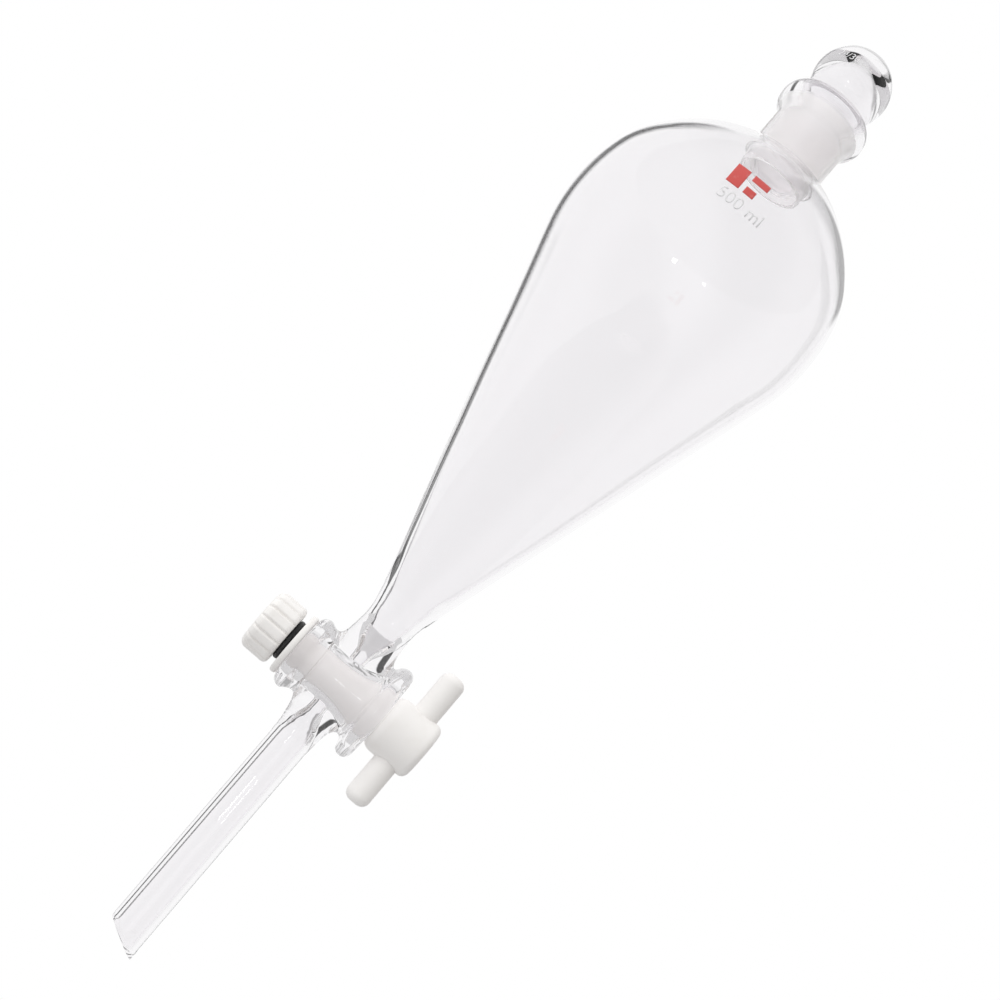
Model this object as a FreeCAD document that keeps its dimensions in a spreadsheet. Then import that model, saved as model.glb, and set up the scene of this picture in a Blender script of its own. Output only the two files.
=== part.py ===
import FreeCAD, Part
import math
import os
import re
import Sketcher
from FreeCAD import Vector

# A 500 ml pear-shaped separatory funnel, in millimetres.
#
# Every height below is counted from the stopcock's axis, and every body is drawn that way. Its
# Placement then lowers it, so that the frame's origin is the middle of the straight neck, where a
# stand's clamp grips. +Z runs up the funnel's axis to the stopper. +X runs along the stopcock's
# axis, from the nut to the handle.

SIZES = [
    # name, millimetres or degrees, what it is
    ("weld_height", 33.0, "seal between the pear's cone and the stopcock's upper arm"),
    ("weld_radius", 10.0, "outside radius at that seal"),
    ("weld_bore_radius", 7.2, "inside radius at that seal"),
    ("equator_height", 173.0, "height of the pear's widest circle"),
    ("bulb_radius", 48.45, "outside radius of the widest circle"),
    ("belly_arc_radius", 64.7, "radius of the outline's arc through the widest circle"),
    ("belly_arc_end", 13.0, "slope at which the belly arc hands over to the shoulder arc"),
    ("shoulder_arc_radius", 33.0, "radius of the shoulder arc"),
    ("shoulder_arc_end", 31.0, "slope at which the shoulder arc hands over to the crown arc"),
    ("crown_arc_radius", 56.0, "radius of the crown arc, which runs in to the neck"),
    ("neck_fillet_radius", 2.5, "fillet between the crown and the neck"),
    ("glass_wall", 1.9, "wall of the blown pear"),
    ("thick_foot_height", 68.0, "height below which the cone's wall thickens"),
    ("neck_wall", 1.1, "wall of the straight neck over the joint's large end"),
    ("neck_length", 12.3, "straight neck between the crown's fillet and the rim"),
    ("rim_stand", 4.45, "rolled rim's outside over the joint's large end"),
    ("rim_arc_radius", 7.5, "radius of the rolled rim's outside arc"),
    ("rim_rise", 6.0, "rim's top above its widest circle"),
    ("mouth_flare", 0.7, "flare of the mouth over the joint's large end"),
    ("mouth_depth", 2.8, "depth of the rounded mouth above the ground zone"),
    ("joint_radius", 12.0, "large-end radius of the ground joint"),
    ("joint_length", 30.0, "length of the ground joint"),
    ("joint_taper", 10.0, "length for a change of one in the ground joint's diameter"),
    ("joint_clearance", 0.08, "radial gap between the stopper and the socket"),
    ("tail_wall", 1.5, "wall of the socket's tail inside the pear, at its foot"),
    ("seal_clearance", 0.05, "radial gap round the socket's tail in the pear's mouth"),
    ("stopper_inset", 1.5, "stopper's foot above the ground joint's lower end"),
    ("stopper_foot_round", 1.7, "rounding of the stopper's foot"),
    ("stopper_wall", 1.7, "wall of the hollow stopper"),
    ("stopper_top_wall", 4.8, "glass over the stopper's hollow at the top"),
    ("stopper_neck_flare", 0.3, "flare of the stopper's neck over the joint's large end"),
    ("head_stand", 1.55, "stopper's round head over the joint's large end"),
    ("head_centre_rise", 9.75, "centre of the head above the rim's top"),
    ("barrel_half_length", 17.0, "half the stopcock barrel's length"),
    ("barrel_wall", 2.6, "wall of the barrel over the bore, at the way"),
    ("nut_flange_stand", 2.6, "stand of the flange at the nut's end over the barrel"),
    ("nut_flange_bead", 3.2, "bead radius of that flange"),
    ("nut_flange_slope", 5.3, "length over which that flange runs down to the barrel"),
    ("handle_flange_stand", 6.6, "stand of the flange at the handle's end over the barrel"),
    ("handle_flange_bead", 2.9, "bead radius of that flange"),
    ("key_radius", 9.4, "radius of the tapered bore at the handle's end"),
    ("key_taper", 5.0, "length for a change of one in the bore's diameter"),
    ("key_clearance", 0.08, "radial gap between the plug and the bore"),
    ("way_radius", 2.0, "radius of the liquid's way through barrel and plug"),
    ("waist_radius", 8.0, "outside radius of the upper arm's waist"),
    ("waist_height", 23.0, "height of that waist"),
    ("upper_arm_root_radius", 9.6, "outside radius of the upper arm where it enters the barrel"),
    ("lower_arm_root_radius", 8.4, "outside radius of the lower arm where it enters the barrel"),
    ("way_neck_rise", 0.2, "way starts to widen this far outside the barrel, in both arms"),
    ("upper_way_radius", 3.6, "way's radius a little above that"),
    ("upper_way_height", 14.5, "height of that radius"),
    ("stem_weld_depth", 24.0, "seal between the lower arm and the drip stem, below the axis"),
    ("stem_radius", 6.5, "outside radius of the drip stem"),
    ("stem_bore_radius", 4.5, "bore radius of the drip stem"),
    ("stem_length", 78.9, "drip stem from its seal to the tip of its long side"),
    ("tip_angle", 27.5, "slant of the drip tip from square"),
    ("plug_body_end", 15.6, "plug's taper ends this far from the way, towards the nut"),
    ("plug_relief_start", 16.4, "plug's taper ends this far from the way, towards the handle"),
    ("plug_relief_step", 0.9, "step of the relief under the head, below the bore's large end"),
    ("plug_head_start", 17.6, "head starts this far from the way"),
    ("plug_head_chamfer", 2.3, "length of the chamfer under the head"),
    ("plug_head_stand", 0.4, "head's stand over the bore's large end"),
    ("plug_head_end", 34.0, "head ends this far from the way"),
    ("plug_head_round", 2.5, "rounding of the head's end"),
    ("shank_radius", 5.0, "radius of the threaded shank"),
    ("shank_end", 30.6, "shank ends this far from the way"),
    ("shank_chamfer", 0.8, "chamfer of the shank's end"),
    ("ring_groove_place", 12.1, "place of the sealing groove nearer the handle"),
    ("ring_groove_place_two", 9.4, "place of the sealing groove nearer the nut"),
    ("ring_groove_width", 0.6, "width of each sealing groove"),
    ("ring_groove_depth", 0.25, "depth of each sealing groove"),
    ("bar_radius", 4.2, "radius of the handle bar"),
    ("bar_length", 49.6, "length of the handle bar"),
    ("bar_place", 26.7, "bar's axis to the way"),
    ("bar_end_round", 2.9, "rounding of the bar's ends"),
    ("bar_clearance", 0.05, "radial gap between the bar and its hole"),
    ("face_gap", 0.1, "gap between faces that turn on each other"),
    ("washer_radius", 10.75, "outside radius of the thrust washer"),
    ("washer_thickness", 2.1, "thickness of the thrust washer"),
    ("washer_round", 0.6, "rounding of the washer's rim"),
    ("shank_clearance", 0.1, "radial gap round the shank in washer, O-ring and nut"),
    ("ring_section", 2.0, "width of the O-ring's section as squeezed"),
    ("ring_thickness", 2.0, "thickness of the O-ring as squeezed"),
    ("ring_round", 0.75, "rounding of the squeezed O-ring"),
    ("nut_radius", 10.5, "outside radius of the nut"),
    ("nut_length", 10.4, "length of the nut"),
    ("nut_outer_round", 2.4, "rounding of the nut's outer end"),
    ("nut_inner_round", 1.6, "rounding of the nut's inner end"),
    ("nut_mouth_chamfer", 0.9, "chamfer of the nut's bore at both ends"),
    ("flute_radius", 1.1, "radius of each flute"),
    ("flute_depth", 0.6, "depth of each flute"),
]
FLUTES = 16
DECIMALS = 6

document = FreeCAD.newDocument("separatory_funnel")
sheet = document.addObject("Spreadsheet::Sheet", "Sizes")
ALIASES = {name for name, size, meaning in SIZES}


def fill_sheet():
    """One row a size: its name, its value as a plain number and what it is."""
    for row, (name, size, meaning) in enumerate(SIZES, start=1):
        sheet.set(f"A{row}", name)
        sheet.set(f"B{row}", str(size))
        sheet.set(f"C{row}", meaning)
        sheet.setAlias(f"B{row}", name)
    document.recompute()


def bound(text):
    """The expression with each size's name pointing at its cell."""
    return re.sub(r"[a-z_]+", lambda word: f"Sizes.{word[0]}" if word[0] in ALIASES else word[0], text)


def value(text):
    """The number that an expression gives."""
    number = sheet.evalExpression(bound(text))
    return float(getattr(number, "Value", number))


def new_body(name):
    """A body with its own name, lowered so that the neck's middle is the frame's origin."""
    body = document.addObject("PartDesign::Body", name)
    body.Label = name
    body.setExpression("Placement.Base.z", bound(f"-({ORIGIN_HEIGHT})"))
    return body


def plane_of(body, role):
    return next(item for item in body.Origin.OriginFeatures if item.Role == role)


def empty_sketch(body, name, role, offset=None):
    """A sketch on one of the body's own origin planes, moved along the plane's normal."""
    sketch = body.newObject("Sketcher::SketchObject", f"{body.Name}_{name}")
    sketch.AttachmentSupport = [(plane_of(body, role), "")]
    sketch.MapMode = "FlatFace"
    if offset is not None:
        sketch.setExpression("AttachmentOffset.Base.z", bound(offset))
    return sketch


def add_constraint(sketch, label, expression, *constraint):
    """A constraint whose size follows an expression on the sheet."""
    index = sketch.addConstraint(Sketcher.Constraint(*constraint, value(expression)))
    sketch.renameConstraint(index, label)
    sketch.setExpression(f"Constraints.{label}", bound(expression))


def arc_centre(start, end, radius):
    """Centre of the short arc: left of the way from start to end where radius is positive."""
    chord = end - start
    half = chord.Length / 2
    left = Vector(-chord.y, chord.x, 0).normalize()
    reach = math.sqrt(max(radius * radius - half * half, 0.0))
    return (start + end) * 0.5 + left * math.copysign(reach, radius)


def draw_edge(sketch, start, end, radius):
    """A line, or the short arc of that signed radius. Returns which of its ends is the start."""
    if radius is None:
        sketch.addGeometry(Part.LineSegment(start, end))
        return 1, 2
    centre = arc_centre(start, end, radius)
    first, last = (start, end) if radius > 0 else (end, start)
    turn = [math.atan2(point.y - centre.y, point.x - centre.x) for point in (first, last)]
    if turn[1] < turn[0]:
        turn[1] += 2 * math.pi
    circle = Part.Circle(centre, Vector(0, 0, 1), abs(radius))
    sketch.addGeometry(Part.ArcOfCircle(circle, *turn))
    return (1, 2) if radius > 0 else (2, 1)


def outline(body, name, corners, role="XZ_Plane"):
    """A closed sketch through corners (across, up) or (across, up, radius of the arc that follows)."""
    sketch = empty_sketch(body, name, role)
    points = [Vector(value(corner[0]), value(corner[1]), 0) for corner in corners]
    radii = [corner[2] if len(corner) > 2 else None for corner in corners]
    ends = []
    for index, start in enumerate(points):
        radius = None if radii[index] is None else value(radii[index])
        ends.append(draw_edge(sketch, start, points[(index + 1) % len(points)], radius))
    for index, (across, up, *_) in enumerate(corners):
        following = (index + 1) % len(corners)
        joint = ("Coincident", index, ends[index][1], following, ends[following][0])
        sketch.addConstraint(Sketcher.Constraint(*joint))
        add_constraint(sketch, f"across_{index}", across, "DistanceX", index, ends[index][0])
        add_constraint(sketch, f"up_{index}", up, "DistanceY", index, ends[index][0])
        if radii[index] is not None:
            add_constraint(sketch, f"radius_{index}", f"abs({radii[index]})", "Radius", index)
    return sketch


def circle_sketch(body, name, role, across, up, radius):
    """One circle on an origin plane."""
    sketch = empty_sketch(body, name, role)
    centre = Vector(value(across), value(up), 0)
    sketch.addGeometry(Part.Circle(centre, Vector(0, 0, 1), value(radius)))
    add_constraint(sketch, "across", across, "DistanceX", 0, 3)
    add_constraint(sketch, "up", up, "DistanceY", 0, 3)
    add_constraint(sketch, "radius", radius, "Radius", 0)
    return sketch


def spin(body, kind, sketch, axis):
    """A full turn of a sketch about its own V_Axis (the funnel's) or H_Axis (the stopcock's)."""
    feature = body.newObject(f"PartDesign::{kind}", f"{sketch.Name}_{kind}")
    feature.Profile = sketch
    feature.ReferenceAxis = (sketch, [axis])
    feature.Angle = 360.0
    sketch.Visibility = False
    document.recompute()
    return feature


def drill(body, sketch):
    """A pocket through the whole body, both ways from the sketch's plane."""
    before = body.Shape.Volume
    pocket = body.newObject("PartDesign::Pocket", f"{sketch.Name}_Pocket")
    pocket.Profile = sketch
    pocket.Type = "ThroughAll"
    pocket.Midplane = True
    document.recompute()
    if not body.Shape.Volume < before:
        raise ValueError(f"{pocket.Name} cut nothing")
    return pocket


# The pear's outline: a cone from the seal, tangent to the belly arc, then the shoulder and crown
# arcs, each tangent to the one before, and a fillet to the straight neck. A slope is the angle
# that the surface's normal makes with the horizontal.
BELLY_ACROSS = "(bulb_radius - belly_arc_radius)"
CONE_REACH = f"sqrt(({BELLY_ACROSS} - weld_radius)^2 + (equator_height - weld_height)^2)"
CONE_ANGLE = (
    f"(asin(belly_arc_radius / {CONE_REACH})"
    f" + atan(({BELLY_ACROSS} - weld_radius) / (equator_height - weld_height)))"
)
SHOULDER_ACROSS = f"({BELLY_ACROSS} + (belly_arc_radius - shoulder_arc_radius) * cos(belly_arc_end))"
SHOULDER_UP = "(equator_height + (belly_arc_radius - shoulder_arc_radius) * sin(belly_arc_end))"
CROWN_ACROSS = f"({SHOULDER_ACROSS} + (shoulder_arc_radius - crown_arc_radius) * cos(shoulder_arc_end))"
CROWN_UP = f"({SHOULDER_UP} + (shoulder_arc_radius - crown_arc_radius) * sin(shoulder_arc_end))"
NECK_RADIUS = "(joint_radius + neck_wall)"
FILLET_ACROSS = f"({NECK_RADIUS} + neck_fillet_radius)"
FILLET_REACH = "(crown_arc_radius + neck_fillet_radius)"
COLLAR_UP = f"({CROWN_UP} + sqrt({FILLET_REACH}^2 - ({FILLET_ACROSS} - {CROWN_ACROSS})^2))"

# The neck stands on the collar: a straight stretch, the rolled rim and the ground zone inside.
RIM_ACROSS = "(joint_radius + rim_stand - rim_arc_radius)"
RIM_START_UP = f"({COLLAR_UP} + neck_length)"
RIM_UP = f"({RIM_START_UP} + sqrt(rim_arc_radius^2 - ({NECK_RADIUS} - {RIM_ACROSS})^2))"
RIM_TOP_UP = f"({RIM_UP} + rim_rise)"
RIM_TOP_ACROSS = f"({RIM_ACROSS} + sqrt(rim_arc_radius^2 - rim_rise^2))"
JOINT_TOP_UP = f"({RIM_TOP_UP} - mouth_depth)"
JOINT_FOOT_UP = f"({JOINT_TOP_UP} - joint_length)"
JOINT_FOOT_RADIUS = "(joint_radius - joint_length / joint_taper / 2)"
TAIL_RADIUS = f"({JOINT_FOOT_RADIUS} + tail_wall)"
ORIGIN_HEIGHT = f"({COLLAR_UP} + neck_length / 2)"


def pear_point(across, up, radius, slope):
    """The point of an arc's outline where the surface has that slope."""
    return f"{across} + ({radius}) * cos({slope})", f"{up} + ({radius}) * sin({slope})"


def make_pear_bulb():
    """The blown pear: one wall from the seal with the stopcock to the collar under the neck."""
    body = new_body("pear_bulb")
    hole = f"({TAIL_RADIUS} + seal_clearance)"
    inner_belly = "belly_arc_radius - glass_wall"
    inner_shoulder = "shoulder_arc_radius - glass_wall"
    inner_crown = "crown_arc_radius - glass_wall"
    cone_top = pear_point(BELLY_ACROSS, "equator_height", "belly_arc_radius", f"-{CONE_ANGLE}")
    belly_top = pear_point(BELLY_ACROSS, "equator_height", "belly_arc_radius", "belly_arc_end")
    shoulder_top = pear_point(SHOULDER_ACROSS, SHOULDER_UP, "shoulder_arc_radius", "shoulder_arc_end")
    fillet_share = f"neck_fillet_radius / {FILLET_REACH}"
    crown_top = (
        f"{FILLET_ACROSS} - ({FILLET_ACROSS} - {CROWN_ACROSS}) * {fillet_share}",
        f"{COLLAR_UP} - ({COLLAR_UP} - {CROWN_UP}) * {fillet_share}",
    )
    inner_mouth_up = f"{CROWN_UP} + sqrt(({inner_crown})^2 - ({hole} - {CROWN_ACROSS})^2)"
    inner_shoulder_top = pear_point(SHOULDER_ACROSS, SHOULDER_UP, inner_shoulder, "shoulder_arc_end")
    inner_belly_top = pear_point(BELLY_ACROSS, "equator_height", inner_belly, "belly_arc_end")
    inner_cone_top = pear_point(BELLY_ACROSS, "equator_height", inner_belly, f"-{CONE_ANGLE}")
    foot_across = f"{inner_cone_top[0]} - ({inner_cone_top[1]} - thick_foot_height) * tan({CONE_ANGLE})"
    sketch = outline(body, "outline", [
        ("weld_bore_radius", "weld_height"),
        ("weld_radius", "weld_height"),
        (*cone_top, "belly_arc_radius"),
        (*belly_top, "shoulder_arc_radius"),
        (*shoulder_top, "crown_arc_radius"),
        (*crown_top, "-neck_fillet_radius"),
        (NECK_RADIUS, COLLAR_UP),
        (hole, COLLAR_UP),
        (hole, inner_mouth_up, f"-({inner_crown})"),
        (*inner_shoulder_top, f"-({inner_shoulder})"),
        (*inner_belly_top, f"-({inner_belly})"),
        inner_cone_top,
        (foot_across, "thick_foot_height"),
    ])
    spin(body, "Revolution", sketch, "V_Axis")
    return body


def make_neck_socket():
    """The ground socket: a tail inside the pear, the straight neck and the rolled rim."""
    body = new_body("neck_socket")
    sketch = outline(body, "outline", [
        (JOINT_FOOT_RADIUS, JOINT_FOOT_UP),
        (TAIL_RADIUS, JOINT_FOOT_UP),
        (TAIL_RADIUS, COLLAR_UP),
        (NECK_RADIUS, COLLAR_UP),
        (NECK_RADIUS, RIM_START_UP, "rim_arc_radius"),
        (RIM_TOP_ACROSS, RIM_TOP_UP),
        ("joint_radius + mouth_flare", RIM_TOP_UP),
        ("joint_radius", JOINT_TOP_UP),
    ])
    spin(body, "Revolution", sketch, "V_Axis")
    return body


def make_stopper():
    """The hollow stopper: closed foot, ground cone, short neck and round head."""
    body = new_body("stopper")
    top_radius = "(joint_radius - joint_clearance)"
    foot_up = f"({JOINT_FOOT_UP} + stopper_inset)"
    foot_radius = f"({top_radius} - (joint_length - stopper_inset) / joint_taper / 2)"
    neck_radius = "(joint_radius + stopper_neck_flare)"
    head_radius = "(joint_radius + head_stand)"
    head_up = f"({RIM_TOP_UP} + head_centre_rise)"
    head_foot_up = f"{head_up} - sqrt({head_radius}^2 - {neck_radius}^2)"
    hollow_radius = f"({head_radius} - stopper_wall)"
    hollow_up = f"({head_up} + {head_radius} - stopper_top_wall - {hollow_radius})"
    hollow_neck = f"({top_radius} - stopper_wall)"
    hollow_foot = f"({foot_radius} - stopper_wall)"
    hollow_joint_up = f"{hollow_up} - sqrt({hollow_radius}^2 - {hollow_neck}^2)"
    sketch = outline(body, "outline", [
        ("0", foot_up),
        (f"{foot_radius} - stopper_foot_round", foot_up, "stopper_foot_round"),
        (foot_radius, f"{foot_up} + stopper_foot_round"),
        (top_radius, JOINT_TOP_UP),
        (neck_radius, head_foot_up, head_radius),
        (head_radius, head_up, head_radius),
        ("0", f"{head_up} + {head_radius}"),
        ("0", f"{hollow_up} + {hollow_radius}", f"-{hollow_radius}"),
        (hollow_radius, hollow_up, f"-{hollow_radius}"),
        (hollow_neck, hollow_joint_up),
        (hollow_neck, JOINT_TOP_UP),
        (hollow_foot, f"{foot_up} + 2 * stopper_wall"),
        (f"{hollow_foot} - stopper_wall", f"{foot_up} + stopper_wall"),
        ("0", f"{foot_up} + stopper_wall"),
    ])
    spin(body, "Revolution", sketch, "V_Axis")
    return body


BARREL_RADIUS = "(key_radius - barrel_half_length / key_taper / 2 + barrel_wall)"
WAY_NECK_UP = f"({BARREL_RADIUS} + way_neck_rise)"


def bore_radius_at(place, clearance="0"):
    """Radius of the tapered bore that far from the way, towards the handle."""
    return f"(key_radius - (barrel_half_length - ({place})) / key_taper / 2 - {clearance})"


def make_stopcock_barrel():
    """The barrel across the funnel's axis, with both arms, the tapered bore and the liquid's way."""
    body = new_body("stopcock_barrel")
    nut_flange = f"({BARREL_RADIUS} + nut_flange_stand)"
    nut_bead_across = "(nut_flange_bead - barrel_half_length)"
    bead_across = "(barrel_half_length - handle_flange_bead)"
    bead_up = f"({BARREL_RADIUS} + handle_flange_stand - handle_flange_bead)"
    sweep = f"({bead_up} - {BARREL_RADIUS})"
    barrel = outline(body, "barrel", [
        ("-barrel_half_length", "0"),
        ("-barrel_half_length", f"{nut_flange} - nut_flange_bead", "-nut_flange_bead"),
        (nut_bead_across, nut_flange),
        (f"{nut_bead_across} + nut_flange_slope", BARREL_RADIUS),
        (f"{bead_across} - handle_flange_bead - {sweep}", BARREL_RADIUS, sweep),
        (f"{bead_across} - handle_flange_bead", bead_up, "-handle_flange_bead"),
        (bead_across, f"{bead_up} + handle_flange_bead", "-handle_flange_bead"),
        ("barrel_half_length", bead_up),
        ("barrel_half_length", "0"),
    ])
    spin(body, "Revolution", barrel, "H_Axis")
    upper_flare = "(weld_radius - waist_radius)"
    upper_rise = "(weld_height - waist_height)"
    root_flare = "(upper_arm_root_radius - waist_radius)"
    root_drop = f"(waist_height - {BARREL_RADIUS})"
    lower_flare = "(lower_arm_root_radius - stem_radius)"
    lower_drop = f"(stem_weld_depth - {BARREL_RADIUS})"
    arms = outline(body, "arms", [
        ("0", "-stem_weld_depth"),
        ("stem_radius", "-stem_weld_depth", f"-({lower_flare}^2 + {lower_drop}^2) / 2 / {lower_flare}"),
        ("lower_arm_root_radius", f"-{BARREL_RADIUS}"),
        ("lower_arm_root_radius", "0"),
        ("upper_arm_root_radius", "0"),
        ("upper_arm_root_radius", BARREL_RADIUS, f"-({root_flare}^2 + {root_drop}^2) / 2 / {root_flare}"),
        ("waist_radius", "waist_height", f"-({upper_flare}^2 + {upper_rise}^2) / 2 / {upper_flare}"),
        ("weld_radius", "weld_height"),
        ("0", "weld_height"),
    ])
    spin(body, "Revolution", arms, "V_Axis")
    bore = outline(body, "bore", [
        ("-barrel_half_length", "0"),
        ("-barrel_half_length", bore_radius_at("-barrel_half_length")),
        ("barrel_half_length", bore_radius_at("barrel_half_length")),
        ("barrel_half_length", "0"),
    ])
    spin(body, "Groove", bore, "H_Axis")
    way = outline(body, "way", [
        ("0", "-stem_weld_depth"),
        ("stem_bore_radius", "-stem_weld_depth"),
        ("stem_bore_radius", "-stem_weld_depth + stem_bore_radius - way_radius"),
        ("way_radius", f"-{WAY_NECK_UP}"),
        ("way_radius", WAY_NECK_UP),
        ("upper_way_radius", "upper_way_height"),
        ("weld_bore_radius", "weld_height"),
        ("0", "weld_height"),
    ])
    spin(body, "Groove", way, "V_Axis")
    return body


def make_drip_stem():
    """The outlet tube, cut off at a slant with its long side towards the handle."""
    body = new_body("drip_stem")
    foot = "(stem_weld_depth + stem_length)"
    sketch = outline(body, "wall", [
        ("stem_bore_radius", "-stem_weld_depth"),
        ("stem_bore_radius", f"-{foot}"),
        ("stem_radius", f"-{foot}"),
        ("stem_radius", "-stem_weld_depth"),
    ])
    spin(body, "Revolution", sketch, "V_Axis")
    rise = "(2 * stem_radius * tan(tip_angle))"
    cut = outline(body, "tip_cut", [
        ("stem_radius", f"-{foot}"),
        ("-stem_radius", f"-{foot} + {rise}"),
        ("-2 * stem_radius", f"-{foot} + {rise}"),
        ("-2 * stem_radius", f"-{foot} - stem_radius"),
        ("stem_radius", f"-{foot} - stem_radius"),
    ])
    drill(body, cut)
    return body


def make_stopcock_plug():
    """The plastic plug: head, relief, tapered body with its cross bore, and threaded shank."""
    body = new_body("stopcock_plug")
    gap = "key_clearance"
    relief = "(key_radius - plug_relief_step)"
    head = "(key_radius + plug_head_stand)"
    head_foot = "plug_head_start + plug_head_chamfer"
    grooves = []
    for place in ("-ring_groove_place_two", "ring_groove_place"):
        for side, deep in (("-", "0"), ("-", "1"), ("+", "1"), ("+", "0")):
            across = f"{place} {side} ring_groove_width / 2"
            grooves.append((across, f"{bore_radius_at(across, gap)} - {deep} * ring_groove_depth"))
    sketch = outline(body, "outline", [
        ("-shank_end", "0"),
        ("-shank_end", "shank_radius - shank_chamfer"),
        ("-shank_end + shank_chamfer", "shank_radius"),
        ("-plug_body_end", "shank_radius"),
        ("-plug_body_end", bore_radius_at("-plug_body_end", gap)),
        *grooves,
        ("plug_relief_start", bore_radius_at("plug_relief_start", gap)),
        ("plug_relief_start", relief),
        ("plug_head_start", relief),
        (head_foot, head),
        ("plug_head_end - plug_head_round", head, "-plug_head_round"),
        ("plug_head_end", f"{head} - plug_head_round"),
        ("plug_head_end", "0"),
    ])
    spin(body, "Revolution", sketch, "H_Axis")
    drill(body, circle_sketch(body, "way", "XY_Plane", "0", "0", "way_radius"))
    drill(body, circle_sketch(body, "bar_hole", "XY_Plane", "bar_place", "0", "bar_radius + bar_clearance"))
    return body


def make_handle_bar():
    """The round-ended bar through the plug's head."""
    body = new_body("handle_bar")
    round_start = "bar_length / 2 - bar_end_round"
    sketch = outline(body, "outline", [
        ("0", "-bar_length / 2"),
        ("bar_radius - bar_end_round", "-bar_length / 2", "bar_end_round"),
        ("bar_radius", f"-({round_start})"),
        ("bar_radius", round_start, "bar_end_round"),
        ("bar_radius - bar_end_round", "bar_length / 2"),
        ("0", "bar_length / 2"),
    ])
    spin(body, "Revolution", sketch, "V_Axis")
    body.setExpression("Placement.Base.x", bound("bar_place"))
    return body


def ring_outline(body, inner, outer, near, far, rounds):
    """A ring on the stopcock's axis from near to far, with its outer edges rounded."""
    near_round, far_round = rounds
    sketch = outline(body, "outline", [
        (far, inner),
        (far, f"{outer} - {far_round}", f"-{far_round}"),
        (f"{far} + {far_round}", outer),
        (f"{near} - {near_round}", outer, f"-{near_round}"),
        (near, f"{outer} - {near_round}"),
        (near, inner),
    ])
    return spin(body, "Revolution", sketch, "H_Axis")


WASHER_NEAR = "(-barrel_half_length - face_gap)"
WASHER_FAR = f"({WASHER_NEAR} - washer_thickness)"
RING_FAR = f"({WASHER_FAR} - ring_thickness)"
NUT_FAR = f"({RING_FAR} - nut_length)"
SHANK_HOLE = "(shank_radius + shank_clearance)"


def make_thrust_washer():
    """The flat washer that runs on the barrel's end."""
    body = new_body("thrust_washer")
    ring_outline(body, SHANK_HOLE, "washer_radius", WASHER_NEAR, WASHER_FAR, ("washer_round",) * 2)
    return body


def make_o_ring():
    """The O-ring, squeezed between the washer and the nut."""
    body = new_body("o_ring")
    ring_outline(body, SHANK_HOLE, f"({SHANK_HOLE} + ring_section)", WASHER_FAR, RING_FAR, ("ring_round",) * 2)
    return body


def make_retaining_nut():
    """The fluted nut on the plug's threaded shank."""
    body = new_body("retaining_nut")
    mouth = f"{SHANK_HOLE} + nut_mouth_chamfer"
    sketch = outline(body, "outline", [
        (f"{NUT_FAR} + nut_mouth_chamfer", SHANK_HOLE),
        (NUT_FAR, mouth),
        (NUT_FAR, "nut_radius - nut_outer_round", "-nut_outer_round"),
        (f"{NUT_FAR} + nut_outer_round", "nut_radius"),
        (f"{RING_FAR} - nut_inner_round", "nut_radius", "-nut_inner_round"),
        (RING_FAR, "nut_radius - nut_inner_round"),
        (RING_FAR, mouth),
        (f"{RING_FAR} - nut_mouth_chamfer", SHANK_HOLE),
    ])
    spin(body, "Revolution", sketch, "H_Axis")
    flute_across = "nut_radius + flute_radius - flute_depth"
    flute = circle_sketch(body, "flute", "YZ_Plane", flute_across, "0", "flute_radius")
    pocket = drill(body, flute)
    pattern = body.newObject("PartDesign::PolarPattern", "retaining_nut_flutes")
    pattern.Originals = [pocket]
    pattern.Axis = (flute, ["N_Axis"])
    pattern.Angle = 360.0
    pattern.Occurrences = FLUTES
    body.Tip = pattern
    document.recompute()
    return body


def check(bodies):
    """Stops on any failed object and on any sub-part that isn't one valid solid."""
    for item in document.Objects:
        if "Invalid" in item.State or "Error" in item.State:
            raise ValueError(f"{item.Name} failed: {item.State}")
    for body in bodies:
        shape = body.Shape
        if shape.isNull() or not shape.isValid() or len(shape.Solids) != 1:
            raise ValueError(f"{body.Label} isn't one valid solid")


def main():
    fill_sheet()
    bodies = [
        make_neck_socket(),
        make_pear_bulb(),
        make_stopcock_barrel(),
        make_drip_stem(),
        make_stopper(),
        make_stopcock_plug(),
        make_handle_bar(),
        make_thrust_washer(),
        make_o_ring(),
        make_retaining_nut(),
    ]
    document.recompute()
    check(bodies)
    os.makedirs("parts", exist_ok=True)
    for body in bodies:
        body.Shape.exportStep(f"parts/{body.Label}.step")
        box = body.Shape.optimalBoundingBox()
        print(f"{body.Label}: {body.Shape.Volume / 1000:.3f} cm3, x {box.XMin:.2f} {box.XMax:.2f},"
              f" z {box.ZMin:.2f} {box.ZMax:.2f}")


main()
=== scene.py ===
import math

import bmesh
import bpy
import numpy as np
from mathutils import Matrix, Vector


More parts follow.
